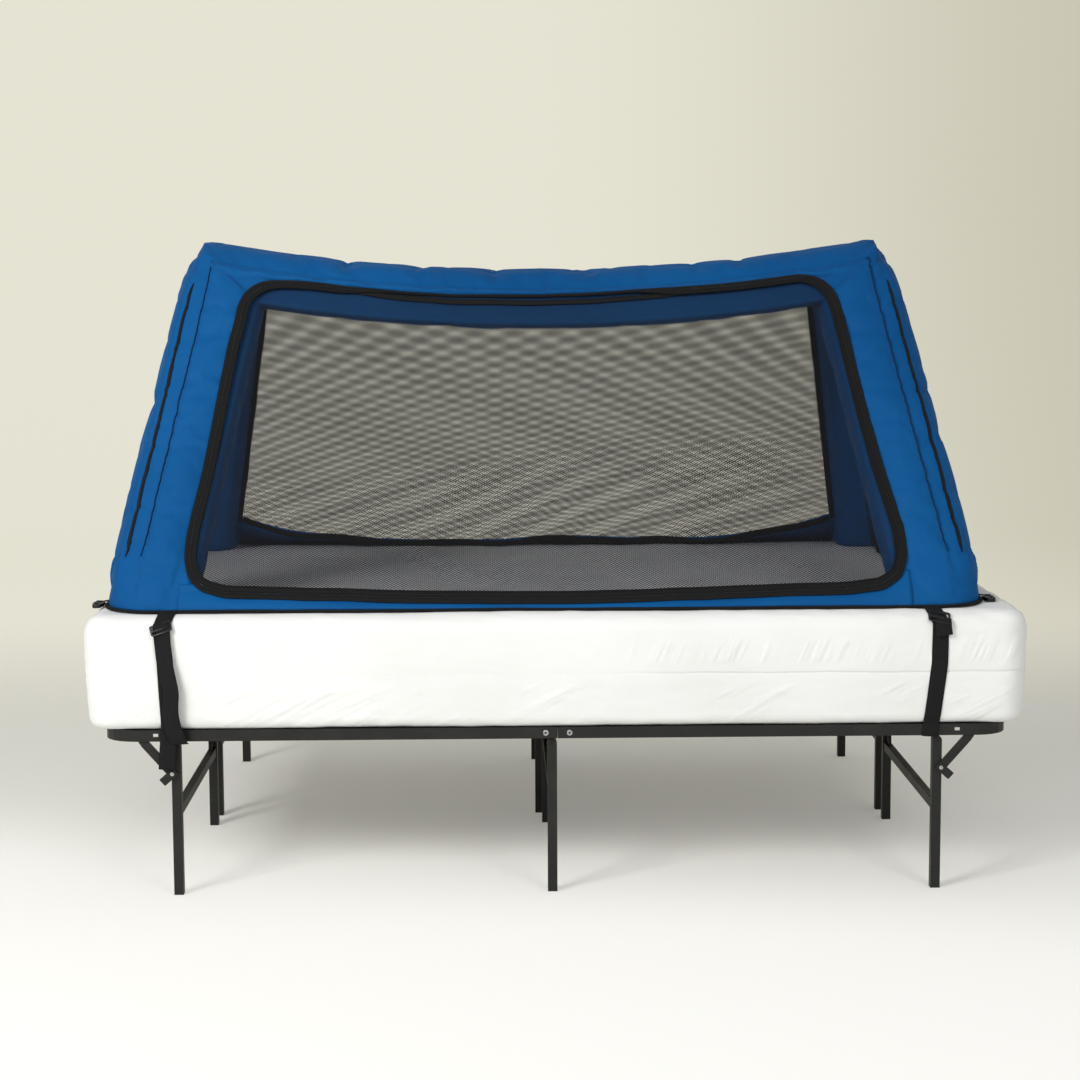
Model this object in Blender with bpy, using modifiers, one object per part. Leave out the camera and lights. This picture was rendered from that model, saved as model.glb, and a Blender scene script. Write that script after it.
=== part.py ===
"""Inflatable travel bed: a strapped-down inflatable mesh enclosure on a mattress and folding steel frame.

Metres, +Z up. The origin is on the floor under the middle of the bed, and the door faces -Y.
"""
import math

import bmesh
import bpy
from mathutils import Vector

OBJECT = "inflatable_travel_bed"

# Clearances
GAP = 0.0003
PIVOT_CLEARANCE = 0.0005

# Folding steel platform
FRAME_LENGTH = 1.908
FRAME_WIDTH = 1.370
RAIL_TOP = 0.356
RAIL_HEIGHT = 0.024
RAIL_DEPTH = 0.030
RAIL_FLANGE = 0.003
RAIL_CORNER = 0.070
UNIT_GAP = 0.002
FOLD_GAP = 0.001
SLAT_COUNT = 6
SLAT_WIDTH = 0.030
SLAT_HEIGHT = 0.012
SLAT_START = 0.120
WELD_SINK = 0.0005
BEAM_WIDTH = 0.028
SLOT_LENGTH = 0.011
SLOT_HEIGHT = 0.007
SLOT_IN = 0.112
SLOT_X = FRAME_LENGTH / 2 - SLOT_IN
SLOT_LEVEL_SHARE = 0.55
RIVET_X = 0.025
RIVET_RADIUS = 0.0035
RIVET_HEAD = 0.006
RIVET_HEAD_HEIGHT = 0.0015
PLATE_MARGIN = 0.004
PLATE_THICKNESS = 0.003

# Leg frames
LEG_SIZE = 0.020
END_LEG_IN = 0.152
END_LEG_X = FRAME_LENGTH / 2 - END_LEG_IN
CENTRE_LEG_X = {-1: 0.0115, 1: 0.026}
OUTER_LEG_IN = 0.020
OUTER_LEG_Y = FRAME_WIDTH / 2 - OUTER_LEG_IN
INNER_LEG_Y = 0.050
PIVOT_DROP = 0.013
CROSSBAR_Z = 0.168
CENTRE_CROSSBAR_Z = 0.202
CROSSBAR_HEIGHT = 0.020
CENTRE_CROSSBAR_HEIGHT = 0.010
BAR_SHARE = 0.8
GUSSET_SIZE = 0.045
GUSSET_THICKNESS = 0.004
LUG_THICKNESS = 0.004
LUG_WIDTH = 0.016
STUD_RADIUS = 0.003

# Braces
BRACE_PIN_X = 0.003
BRACE_PIN_DROP = 0.054
BRACE_REACH_X = 0.067
BRACE_REACH_Z = 0.057
BRACE_WIDTH = 0.017
BRACE_DEPTH = 0.0085
BRACE_STUD = 0.002
STUD_END = 0.001
BRACE_TAB = 0.032
BRACE_TAB_WIDTH = 0.018

# Mattress
END_OVERHANG = 0.038
SIDE_OVERHANG = 0.015
MATTRESS_LENGTH = FRAME_LENGTH + 2 * END_OVERHANG
MATTRESS_WIDTH = FRAME_WIDTH + 2 * SIDE_OVERHANG
MATTRESS_HEIGHT = 0.242
MATTRESS_EDGE = 0.040
LOWER_EDGE = 0.025
PLAN_CORNER = 0.060
SIDE_DRAW = 0.006
COVER_HEM = 0.060
COVER_THICKNESS = 0.002

# Inflatable enclosure
TENT_X = -0.022
TENT_END_IN = 0.057
TENT_FRONT_IN = 0.045
TENT_BACK_IN = 0.133
TENT_LENGTH = MATTRESS_LENGTH - 2 * TENT_END_IN
TENT_FRONT_Y = -MATTRESS_WIDTH / 2 + TENT_FRONT_IN
TENT_DEPTH = MATTRESS_WIDTH - TENT_FRONT_IN - TENT_BACK_IN
TENT_CORNER_HEIGHT = 0.772
TOP_SAG = 0.072
SIDE_LEAN = 0.193
ROOF_GAP = 0.00648
FRONT_COLUMN_WIDTH = 0.185
BACK_COLUMN_WIDTH = 0.160
COLUMN_DEPTH = 0.160
BEAM_HEIGHT = 0.138
UNDER_SAG = 0.049
SLEEVE_WALL = 0.0015
BLADDER_GAP = 0.0007
BLADDER_END = 0.004
SLEEVE_STEPS = 3
COLUMN_STEPS = 3
BEAM_STEPS = 8
ROOF_LEVEL_SHARE = 0.42
ROOF_REACH_SHARE = 0.96
ROOF_THICKNESS = 0.002
FLOOR_SHEET = 0.002
HEM_WIDTH = 0.008
HEM_HEIGHT = 0.007
HEM_CORNER = 0.040

# Door, windows and zips
DOOR_END_IN = 0.169
DOOR_HALF_WIDTH = TENT_LENGTH / 2 - DOOR_END_IN
DOOR_CORNER = 0.060
DOOR_TOP = 0.652
DOOR_SAG = 0.036
DOOR_BOTTOM = 0.010
DOOR_LEVEL = 0.147
DOOR_COLUMNS = 14
DOOR_ROWS = 8
ZIP_WIDTH = 0.020
ZIP_THICKNESS = 0.003
NET_BAR = 0.004
NET_GAP = 0.0005
WINDOW_LEVEL_SHARE = 0.5
WINDOW_COLUMNS = 12
WINDOW_ROWS = 7
SIDE_WINDOW_IN = 0.080
SIDE_WINDOW_HEIGHT = 0.6841
SIDE_COLUMNS = 6
SIDE_ROWS = 6
COLUMN_ZIP_WIDTH = 0.010
COLUMN_ZIP_THICKNESS = 0.002
ZIP_END_SHARE = 0.13
SLIDER_LENGTH = 0.026
SLIDER_HEIGHT = 0.009
SLIDER_THICKNESS = 0.005
SLIDER_OFFSET = 0.400
SLIDER_SPACING = 0.070

# Straps and buckles
STRAP_WIDTH = 0.036
STRAP_THICKNESS = 0.0025
STRAP_IN = 0.127
STRAP_OFFSET = TENT_LENGTH / 2 - STRAP_IN
STRAP_SHIFT = 0.008
STRAP_HOOK = 0.008
LOCK_WIDTH = 0.046
LOCK_HEIGHT = 0.022
LOCK_THICKNESS = 0.007
LOCK_BELOW_EDGE = 0.002
LOCK_SLOT = 0.004
BUCKLE_LENGTH = 0.048
BUCKLE_WIDTH = 0.024
BUCKLE_THICKNESS = 0.009
BUCKLE_BACK = 0.125
BUCKLE_Y = TENT_FRONT_Y + BUCKLE_BACK
BUCKLE_SLOT = 0.005
TAB_WIDTH = 0.016
TAB_LENGTH = 0.030
TAB_THICKNESS = 0.003

# Levels worked out from the sizes above
RAIL_BOTTOM = RAIL_TOP - RAIL_HEIGHT
PIVOT_Z = RAIL_BOTTOM - PIVOT_DROP
MATTRESS_BOTTOM = RAIL_TOP + GAP
MATTRESS_TOP = MATTRESS_BOTTOM + MATTRESS_HEIGHT
SHEET_BOTTOM = MATTRESS_TOP + GAP
TENT_BASE = SHEET_BOTTOM + FLOOR_SHEET + GAP
TENT_BACK_Y = TENT_FRONT_Y + TENT_DEPTH
FACE_LEAN = (TENT_DEPTH - 2 * COLUMN_DEPTH - ROOF_GAP) / 2 / TENT_CORNER_HEIGHT
SIDE_WINDOW_TOP = TENT_BASE + SIDE_WINDOW_HEIGHT
SLOPE = math.sqrt(1 + FACE_LEAN ** 2)
NET_EDGE = NET_BAR / 2 + NET_GAP


def clear_scene():
    for item in list(bpy.data.objects):
        bpy.data.objects.remove(item, do_unlink=True)


def make_collection(name):
    collection = bpy.data.collections.new(name)
    bpy.context.scene.collection.children.link(collection)
    return collection


def material(name, colour, roughness, metallic=0.0):
    made = bpy.data.materials.new(name)
    made.use_nodes = True
    shader = made.node_tree.nodes["Principled BSDF"]
    shader.inputs["Base Color"].default_value = (*colour, 1.0)
    shader.inputs["Roughness"].default_value = roughness
    shader.inputs["Metallic"].default_value = metallic
    return made


# Modelling helpers

def add_object(name, mesh, paint, collection):
    made = bpy.data.objects.new(name, mesh)
    collection.objects.link(made)
    if paint:
        mesh.materials.clear()
        mesh.materials.append(paint)
    return made


def mesh_from(bm, name):
    bmesh.ops.recalc_face_normals(bm, faces=bm.faces)
    mesh = bpy.data.meshes.new(name)
    bm.to_mesh(mesh)
    bm.free()
    return mesh


def box(low, high):
    bm = bmesh.new()
    bmesh.ops.create_cube(bm, size=1.0)
    size = Vector(high) - Vector(low)
    bmesh.ops.scale(bm, vec=size, verts=bm.verts)
    bmesh.ops.translate(bm, vec=(Vector(low) + Vector(high)) / 2, verts=bm.verts)
    return mesh_from(bm, "box")


def rod(start, end, radius, sides=16):
    start, end = Vector(start), Vector(end)
    bm = bmesh.new()
    bmesh.ops.create_cone(bm, cap_ends=True, segments=sides, radius1=radius, radius2=radius,
                          depth=(end - start).length)
    turn = Vector((0, 0, 1)).rotation_difference(end - start).to_matrix()
    bmesh.ops.rotate(bm, matrix=turn, verts=bm.verts)
    bmesh.ops.translate(bm, vec=(start + end) / 2, verts=bm.verts)
    return mesh_from(bm, "rod")


def bar_between(start, end, width, low_y, high_y):
    """A flat bar in the X-Z plane that runs from start to end, both given as (x, z)."""
    start, end = Vector(start), Vector(end)
    run = end - start
    bm = bmesh.new()
    bmesh.ops.create_cube(bm, size=1.0)
    bmesh.ops.scale(bm, vec=(run.length, high_y - low_y, width), verts=bm.verts)
    turn = Vector((1, 0, 0)).rotation_difference(Vector((run.x, 0, run.y))).to_matrix()
    bmesh.ops.rotate(bm, matrix=turn, verts=bm.verts)
    middle = (start + end) / 2
    bmesh.ops.translate(bm, vec=(middle.x, (low_y + high_y) / 2, middle.y), verts=bm.verts)
    return mesh_from(bm, "bar")


def outline_plate(outlines, thickness, bottom):
    """A flat plate from closed outlines of (x, y) points, the first outside and the rest holes."""
    curve = bpy.data.curves.new("outline", "CURVE")
    curve.dimensions = "2D"
    curve.fill_mode = "BOTH"
    curve.extrude = thickness / 2
    for points in outlines:
        spline = curve.splines.new("POLY")
        spline.points.add(len(points) - 1)
        for place, (x, y) in zip(spline.points, points):
            place.co = (x, y, 0, 1)
        spline.use_cyclic_u = True
    holder = bpy.data.objects.new("outline", curve)
    bpy.context.scene.collection.objects.link(holder)
    mesh = bpy.data.meshes.new_from_object(holder.evaluated_get(bpy.context.evaluated_depsgraph_get()))
    bpy.data.objects.remove(holder, do_unlink=True)
    bm = bmesh.new()
    bm.from_mesh(mesh)
    bmesh.ops.remove_doubles(bm, verts=bm.verts, dist=0.00001)
    bmesh.ops.translate(bm, vec=(0, 0, bottom + thickness / 2), verts=bm.verts)
    bpy.data.meshes.remove(mesh)
    return mesh_from(bm, "plate")


def turned_plate(outlines, low_y, high_y):
    """A plate whose outlines are (x, z) points, standing between two values of y."""
    flat = [[(x, -z) for x, z in points] for points in outlines]
    mesh = outline_plate(flat, high_y - low_y, 0)
    bm = bmesh.new()
    bm.from_mesh(mesh)
    for vert in bm.verts:
        x, y, z = vert.co
        vert.co = (x, low_y + z, -y)
    return mesh_from(bm, "plate")


def combine(base, others, operation="UNION"):
    """Joins or cuts base with each of the other meshes in turn and returns the new mesh."""
    scene = bpy.context.scene.collection
    for other in others:
        body = bpy.data.objects.new("body", base)
        tool = bpy.data.objects.new("tool", other)
        scene.objects.link(body)
        scene.objects.link(tool)
        step = body.modifiers.new("step", "BOOLEAN")
        step.operation = operation
        step.solver = "EXACT"
        step.object = tool
        graph = bpy.context.evaluated_depsgraph_get()
        base = bpy.data.meshes.new_from_object(body.evaluated_get(graph))
        bpy.data.objects.remove(body, do_unlink=True)
        bpy.data.objects.remove(tool, do_unlink=True)
    return base


def loft(rings, capped=True):
    """Joins rings of points in order. Capped ends close a solid; otherwise the last ring joins the first."""
    bm = bmesh.new()
    rows = [[bm.verts.new(point) for point in ring] for ring in rings]
    pairs = list(zip(rows, rows[1:]))
    if not capped:
        pairs.append((rows[-1], rows[0]))
    for low, high in pairs:
        for i in range(len(low)):
            j = (i + 1) % len(low)
            bm.faces.new((low[i], low[j], high[j], high[i]))
    if capped:
        bm.faces.new(list(reversed(rows[0])))
        bm.faces.new(rows[-1])
    return mesh_from(bm, "loft")


def arc(centre_x, centre_y, radius, start, end, steps):
    """Points on an arc between two angles in degrees."""
    angles = [math.radians(start + (end - start) * i / steps) for i in range(steps + 1)]
    return [(centre_x + radius * math.cos(a), centre_y + radius * math.sin(a)) for a in angles]


def rounded_rectangle(low, high, radii, steps=6):
    """Counter-clockwise outline. The radii are for the corners -x-y, +x-y, +x+y and -x+y; 0 is square."""
    (x0, y0), (x1, y1) = low, high
    corners = ((x0, y0, 1, 1, 180), (x1, y0, -1, 1, 270), (x1, y1, -1, -1, 0), (x0, y1, 1, -1, 90))
    points = []
    for (x, y, way_x, way_y, start), radius in zip(corners, radii):
        if radius:
            points += arc(x + way_x * radius, y + way_y * radius, radius, start, start + 90, steps)
        else:
            points.append((x, y))
    return points


def grow(radii, by):
    return [max(radius + by, 0) if radius else 0 for radius in radii]


def smooth(target, angle=35):
    target.data.shade_smooth()
    target.data.set_sharp_from_angle(angle=math.radians(angle))


# Steel platform

def platform_half(side, unit):
    """One quarter of the platform. side is -1 left or 1 right, unit is -1 front or 1 back."""
    end_x = side * FRAME_LENGTH / 2
    fold_x = side * FOLD_GAP / 2
    outer_y = unit * FRAME_WIDTH / 2
    inner_y = unit * UNIT_GAP / 2
    low = (min(end_x, fold_x), min(outer_y, inner_y))
    high = (max(end_x, fold_x), max(outer_y, inner_y))
    radii = (RAIL_CORNER, 0, 0, RAIL_CORNER) if side < 0 else (0, RAIL_CORNER, RAIL_CORNER, 0)

    def ring(by, z):
        outline = rounded_rectangle((low[0] + by, low[1] + by), (high[0] - by, high[1] - by), grow(radii, -by))
        return [(x, y, z) for x, y in outline]

    under = RAIL_TOP - RAIL_FLANGE
    rail = loft([ring(0, RAIL_BOTTOM), ring(0, RAIL_TOP), ring(RAIL_DEPTH, RAIL_TOP), ring(RAIL_DEPTH, under),
                 ring(RAIL_FLANGE, under), ring(RAIL_FLANGE, RAIL_BOTTOM)], capped=False)
    cross_low = min(outer_y, inner_y) + RAIL_FLANGE / 2
    cross_high = max(outer_y, inner_y) - RAIL_FLANGE / 2

    def cross_bar(x, width, bottom):
        return box((x - width / 2, cross_low, bottom), (x + width / 2, cross_high, RAIL_TOP - WELD_SINK))

    beam_x = side * END_LEG_X
    pieces = [cross_bar(beam_x, BEAM_WIDTH, RAIL_BOTTOM + WELD_SINK)]
    last = END_LEG_X - SLAT_START * 0.9
    for i in range(SLAT_COUNT):
        x = side * (SLAT_START + (last - SLAT_START) * i / (SLAT_COUNT - 1))
        pieces.append(cross_bar(x, SLAT_WIDTH, RAIL_TOP - SLAT_HEIGHT))
    for leg_x in lug_places(side, unit):
        if leg_x != beam_x:
            pieces.append(cross_bar(leg_x, LEG_SIZE, RAIL_BOTTOM + WELD_SINK))
        for leg_y in (OUTER_LEG_Y, INNER_LEG_Y):
            pieces += lug(leg_x, leg_y, unit)
    body = combine(rail, pieces)
    slot_x = side * SLOT_X
    slot_z = RAIL_BOTTOM + RAIL_HEIGHT * SLOT_LEVEL_SHARE
    cuts = [box((slot_x - SLOT_LENGTH / 2, outer_y - RAIL_DEPTH / 2, slot_z - SLOT_HEIGHT / 2),
                (slot_x + SLOT_LENGTH / 2, outer_y + RAIL_DEPTH / 2, slot_z + SLOT_HEIGHT / 2))]
    rivet_z = RAIL_BOTTOM + RAIL_HEIGHT / 2
    for edge, rail_y in ((1, outer_y), (0, inner_y)):
        cuts.append(rod((side * RIVET_X, rail_y - RAIL_DEPTH / 2, rivet_z),
                        (side * RIVET_X, rail_y + RAIL_DEPTH / 2, rivet_z), RIVET_RADIUS + GAP))
        cuts.append(box(*plate_box(unit, edge, GAP)))
    return combine(body, cuts, "DIFFERENCE")


def lug_places(side, unit):
    """The centre legs hang from the left half."""
    if side < 0:
        return [-END_LEG_X, -CENTRE_LEG_X[unit]]
    return [END_LEG_X]


def lug(leg_x, leg_y, unit):
    """The ear and its pivot stud, on the inner side of a leg."""
    face = leg_y - LEG_SIZE / 2 - PIVOT_CLEARANCE
    ys = sorted((unit * face, unit * (face - LUG_THICKNESS)))
    ear = box((leg_x - LUG_WIDTH / 2, ys[0], PIVOT_Z - LUG_WIDTH / 2),
              (leg_x + LUG_WIDTH / 2, ys[1], RAIL_BOTTOM + RAIL_HEIGHT / 2))
    stud = rod((leg_x, unit * (face - LUG_THICKNESS / 2), PIVOT_Z),
               (leg_x, unit * (leg_y + LEG_SIZE / 2 - GAP), PIVOT_Z), STUD_RADIUS)
    return [ear, stud]


def plate_box(unit, edge, spare):
    """The corners of a hinge plate behind the outer rail (edge 1) or the inner rail (edge 0)."""
    face = FRAME_WIDTH / 2 if edge else UNIT_GAP / 2
    way = 1 if edge else -1
    near = face - way * (RAIL_FLANGE + GAP)
    ys = sorted((unit * near, unit * (near - way * PLATE_THICKNESS)))
    half = RIVET_X + RIVET_HEAD + PLATE_MARGIN + spare
    z = RAIL_BOTTOM + RAIL_HEIGHT / 2
    rise = RAIL_HEIGHT / 2 - RAIL_FLANGE - GAP * 3 + spare
    return (-half, ys[0] - spare, z - rise), (half, ys[1] + spare, z + rise)


def fold_plate(unit, edge):
    """The hinge plate and its two rivets across the fold."""
    face_y = FRAME_WIDTH / 2 if edge else UNIT_GAP / 2
    way = 1 if edge else -1
    near = face_y - way * (RAIL_FLANGE + GAP)
    z = RAIL_BOTTOM + RAIL_HEIGHT / 2
    body = box(*plate_box(unit, edge, 0))
    out = face_y + way * (GAP + RIVET_HEAD_HEIGHT if edge else 0)
    parts, recesses = [], []
    for x in (-RIVET_X, RIVET_X):
        parts.append(rod((x, unit * (near - way * PLATE_THICKNESS / 2), z), (x, unit * out, z), RIVET_RADIUS))
        if edge:
            parts.append(rod((x, unit * (face_y + way * GAP), z), (x, unit * out, z), RIVET_HEAD))
            recesses.append(rod((x, unit * (out - way * RIVET_HEAD_HEIGHT), z),
                                (x, unit * (out + way * RIVET_HEAD_HEIGHT), z), RIVET_RADIUS * 0.7))
    return combine(combine(body, parts), recesses, "DIFFERENCE")


def leg_frame(leg_x, unit, bar_z, bar_height, braced):
    """Two legs and their crossbar, welded, with gussets on the end frames."""
    pieces, holes = [], []
    for leg_y in (OUTER_LEG_Y, INNER_LEG_Y):
        ys = sorted((unit * (leg_y - LEG_SIZE / 2), unit * (leg_y + LEG_SIZE / 2)))
        pieces.append(box((leg_x - LEG_SIZE / 2, ys[0], 0), (leg_x + LEG_SIZE / 2, ys[1], PIVOT_Z)))
        pieces.append(rod((leg_x, ys[0], PIVOT_Z), (leg_x, ys[1], PIVOT_Z), LEG_SIZE / 2, 20))
        holes.append(rod((leg_x, ys[0] - LEG_SIZE, PIVOT_Z), (leg_x, ys[1] + LEG_SIZE, PIVOT_Z),
                         STUD_RADIUS + PIVOT_CLEARANCE))
        if braced:
            pin_x, pin_z = brace_pin(leg_x)
            start = unit * (leg_y + LEG_SIZE / 2 + PIVOT_CLEARANCE)
            end = unit * (leg_y - BRACE_STUD + PIVOT_CLEARANCE)
            holes.append(rod((pin_x, start, pin_z), (pin_x, end, pin_z), STUD_RADIUS + PIVOT_CLEARANCE))
    inner = INNER_LEG_Y + LEG_SIZE / 4
    outer = OUTER_LEG_Y - LEG_SIZE / 4
    ys = sorted((unit * inner, unit * outer))
    bar_half = LEG_SIZE * BAR_SHARE / 2
    pieces.append(box((leg_x - bar_half, ys[0], bar_z), (leg_x + bar_half, ys[1], bar_z + bar_height)))
    if braced:
        for leg_y, way in ((OUTER_LEG_Y, -1), (INNER_LEG_Y, 1)):
            pieces.append(gusset(leg_x, unit, leg_y + way * LEG_SIZE / 4, way, bar_z + bar_height / 2))
    return combine(combine(pieces[0], pieces[1:]), holes, "DIFFERENCE")


def gusset(leg_x, unit, root_y, way, root_z):
    """A three-cornered plate in the angle of a leg and its crossbar."""
    size = GUSSET_SIZE + LEG_SIZE / 2
    points = [(root_y, root_z), (root_y + way * size, root_z), (root_y, root_z + size)]
    rings = []
    for x in (leg_x - GUSSET_THICKNESS / 2, leg_x + GUSSET_THICKNESS / 2):
        rings.append([(x, unit * y, z) for y, z in points])
    return loft(rings)


def brace_pin(leg_x):
    side = 1 if leg_x > 0 else -1
    return leg_x + side * BRACE_PIN_X, PIVOT_Z - BRACE_PIN_DROP


def brace(leg_x, leg_y, unit):
    """The locking arm from a leg's pin up to the rail, with its release tab square to it."""
    side = 1 if leg_x > 0 else -1
    pin = Vector(brace_pin(leg_x))
    top = pin + Vector((side * BRACE_REACH_X, BRACE_REACH_Z))
    along = (top - pin).normalized()
    across = Vector((side * along.y, -side * along.x))
    if across.y > 0:
        across = -across
    near = leg_y + LEG_SIZE / 2 + PIVOT_CLEARANCE
    ys = sorted((unit * near, unit * (near + BRACE_DEPTH)))
    arm = bar_between(pin - along * BRACE_WIDTH / 2, top, BRACE_WIDTH, *ys)
    tab_start = pin - along * (BRACE_TAB_WIDTH - BRACE_WIDTH) / 2
    tab = bar_between(tab_start, tab_start + across * BRACE_TAB, BRACE_TAB_WIDTH, *ys)
    stud = rod((pin.x, unit * (near + BRACE_DEPTH / 2), pin.y), (pin.x, unit * (leg_y - BRACE_STUD + STUD_END), pin.y),
               STUD_RADIUS)
    return combine(arm, [tab, stud])


# Mattress

def mattress_ring(half_x, half_y, radius, z, steps=4):
    outline = rounded_rectangle((-half_x, -half_y), (half_x, half_y), [radius] * 4, steps)
    return [(x, y, z) for x, y in outline]


def mattress_profile(inset, bottom, top):
    """Rings from the underside up, with drawn-in sides under a slightly fuller upper half."""
    half_x = MATTRESS_LENGTH / 2 - inset
    half_y = MATTRESS_WIDTH / 2 - inset
    edge = MATTRESS_EDGE - inset
    low_edge = LOWER_EDGE - inset
    plan = PLAN_CORNER - inset
    rings = []
    for angle in (270, 315, 360):
        turn = math.radians(angle)
        inward = low_edge * (1 - math.cos(turn)) + SIDE_DRAW
        rings.append(mattress_ring(half_x - inward, half_y - inward, plan - inward,
                                   bottom + low_edge * (1 + math.sin(turn))))
    middle = (bottom + top) / 2
    rings.append(mattress_ring(half_x - SIDE_DRAW * 0.3, half_y - SIDE_DRAW * 0.3, plan - SIDE_DRAW * 0.3, middle))
    for angle in (0, 30, 60, 90):
        turn = math.radians(angle)
        inward = edge * (1 - math.cos(turn))
        rings.append(mattress_ring(half_x - inward, half_y - inward, plan - inward,
                                   top - edge * (1 - math.sin(turn))))
    return rings


def mattress_cover():
    """A fitted cover, open underneath inside its hem."""
    outside = mattress_profile(0, MATTRESS_BOTTOM, MATTRESS_TOP)
    inside = mattress_profile(COVER_THICKNESS, MATTRESS_BOTTOM + COVER_THICKNESS, MATTRESS_TOP - COVER_THICKNESS)
    skin = loft(outside)
    hollow = loft(inside)
    half_x = MATTRESS_LENGTH / 2 - COVER_HEM
    half_y = MATTRESS_WIDTH / 2 - COVER_HEM
    mouth = box((-half_x, -half_y, MATTRESS_BOTTOM - COVER_THICKNESS),
                (half_x, half_y, MATTRESS_BOTTOM + 2 * COVER_THICKNESS))
    return combine(skin, [hollow, mouth], "DIFFERENCE")


def mattress_core():
    inset = COVER_THICKNESS + GAP
    return loft(mattress_profile(inset, MATTRESS_BOTTOM + inset, MATTRESS_TOP - inset))


# Enclosure geometry

def outer_x(z):
    """Half the width over the columns at a height."""
    return TENT_LENGTH / 2 - SIDE_LEAN * (z - TENT_BASE)


def face_y(unit, z):
    """Where the front or back face of the sleeves lies at a height."""
    foot = TENT_FRONT_Y if unit < 0 else TENT_BACK_Y
    return foot - unit * FACE_LEAN * (z - TENT_BASE)


def column_width(unit):
    return FRONT_COLUMN_WIDTH if unit < 0 else BACK_COLUMN_WIDTH


TOP_Z = TENT_BASE + TENT_CORNER_HEIGHT
UNDER_Z = TOP_Z - BEAM_HEIGHT


def sleeve_line(unit, part, way, along):
    """Outer and inner edge of a sleeve as (x, z) pairs about the middle of the enclosure.

    A column runs from 0 at its foot to 1 at the mitre, and the top beam from -1 to 1 across.
    """
    width = column_width(unit)
    if part == "column":
        outer_z = TENT_BASE + (TOP_Z - GAP - TENT_BASE) * along
        inner_z = TENT_BASE + (UNDER_Z - GAP - TENT_BASE) * along
        return (way * outer_x(outer_z), outer_z), (way * (outer_x(inner_z) - width), inner_z)
    drop = 1 - along ** 2
    half_top = outer_x(TOP_Z) - GAP
    half_under = outer_x(UNDER_Z) - width - GAP
    return (along * half_top, TOP_Z - TOP_SAG * drop), (along * half_under, UNDER_Z - UNDER_SAG * drop)


def section(radii):
    """Rounded unit square of (a, b): a runs from the outer edge in, b from the face to the inside."""
    return rounded_rectangle((0, 0), (1, 1), radii, SLEEVE_STEPS)


def sleeve_ring(unit, line, points, shrink):
    """One ring of a sleeve. shrink draws the ring in towards its middle by a distance."""
    (x0, z0), (x1, z1) = line
    span = math.hypot(x1 - x0, z1 - z0)
    ring = []
    for a, b in points:
        a = 0.5 + (a - 0.5) * (1 - 2 * shrink / span)
        b = 0.5 + (b - 0.5) * (1 - 2 * shrink / COLUMN_DEPTH)
        x = x0 + (x1 - x0) * a
        z = z0 + (z1 - z0) * a
        ring.append((TENT_X + x, face_y(unit, z) - unit * COLUMN_DEPTH * b, z))
    return ring


def stations(part):
    if part == "column":
        return [i / COLUMN_STEPS for i in range(COLUMN_STEPS + 1)]
    return [-1 + 2 * i / BEAM_STEPS for i in range(BEAM_STEPS + 1)]


SLEEVE_RADII = (0.30, 0.12, 0.34, 0.34)


def sleeve(unit, part, way=1):
    """A fabric tube open at both ends."""
    points = section(SLEEVE_RADII)
    lines = [sleeve_line(unit, part, way, along) for along in stations(part)]
    outside = [sleeve_ring(unit, line, points, 0) for line in lines]
    inside = [sleeve_ring(unit, line, points, SLEEVE_WALL) for line in lines]
    return loft(outside + inside[::-1], capped=False)


def air_beam(unit, part, way=1):
    """The inflated tube inside a sleeve, with its ends drawn in."""
    points = section(SLEEVE_RADII)
    lines = [sleeve_line(unit, part, way, along) for along in stations(part)]
    lines[0] = sleeve_line(unit, part, way, stations(part)[0] * 0.98 + (BLADDER_END if part == "column" else 0))
    lines[-1] = sleeve_line(unit, part, way, stations(part)[-1] * 0.99)
    return loft([sleeve_ring(unit, line, points, SLEEVE_WALL + BLADDER_GAP) for line in lines])


def roof_panel():
    """The fabric strip between the two top beams."""
    rings = []
    share = ROOF_LEVEL_SHARE
    for along in stations("beam"):
        (x0, z0), (x1, z1) = sleeve_line(-1, "beam", 1, along * ROOF_REACH_SHARE)
        x = TENT_X + x0 + (x1 - x0) * share
        z = z0 + (z1 - z0) * share
        front = face_y(-1, z) + COLUMN_DEPTH + GAP * SLOPE
        back = face_y(1, z) - COLUMN_DEPTH - GAP * SLOPE
        rise = ROOF_THICKNESS * FACE_LEAN
        rings.append([(x, front, z), (x, back, z), (x, back - rise, z + ROOF_THICKNESS),
                      (x, front + rise, z + ROOF_THICKNESS)])
    return loft(rings)


# Panels

def round_corner(u, v, radius_u, radius_v):
    """Draws the corner of the square -1..1 in to a rounded one."""
    over_u = max(abs(u) - (1 - radius_u), 0) / radius_u
    over_v = max(abs(v) - (1 - radius_v), 0) / radius_v
    if over_u and over_v:
        length = math.hypot(over_u, over_v)
        share = max(over_u, over_v) / length
        u = math.copysign(1 - radius_u + over_u * share * radius_u, u)
        v = math.copysign(1 - radius_v + over_v * share * radius_v, v)
    return u, v


def door_point(u, v, inset, depth, unit=-1):
    """A point of the door or its zip: u across and v up, both -1..1, drawn in by inset."""
    low = TENT_BASE + DOOR_BOTTOM + inset
    middle_height = (DOOR_TOP - DOOR_BOTTOM - 2 * inset) / 2
    u, v = round_corner(u, v, DOOR_CORNER / DOOR_HALF_WIDTH, DOOR_CORNER / middle_height)
    high = TENT_BASE + DOOR_TOP + DOOR_SAG * u * u - inset
    z = low + (high - low) * (v + 1) / 2
    x = u * (DOOR_HALF_WIDTH - SIDE_LEAN * (z - TENT_BASE - DOOR_LEVEL) - inset)
    return TENT_X + x, face_y(unit, z) + unit * depth * SLOPE, z


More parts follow.
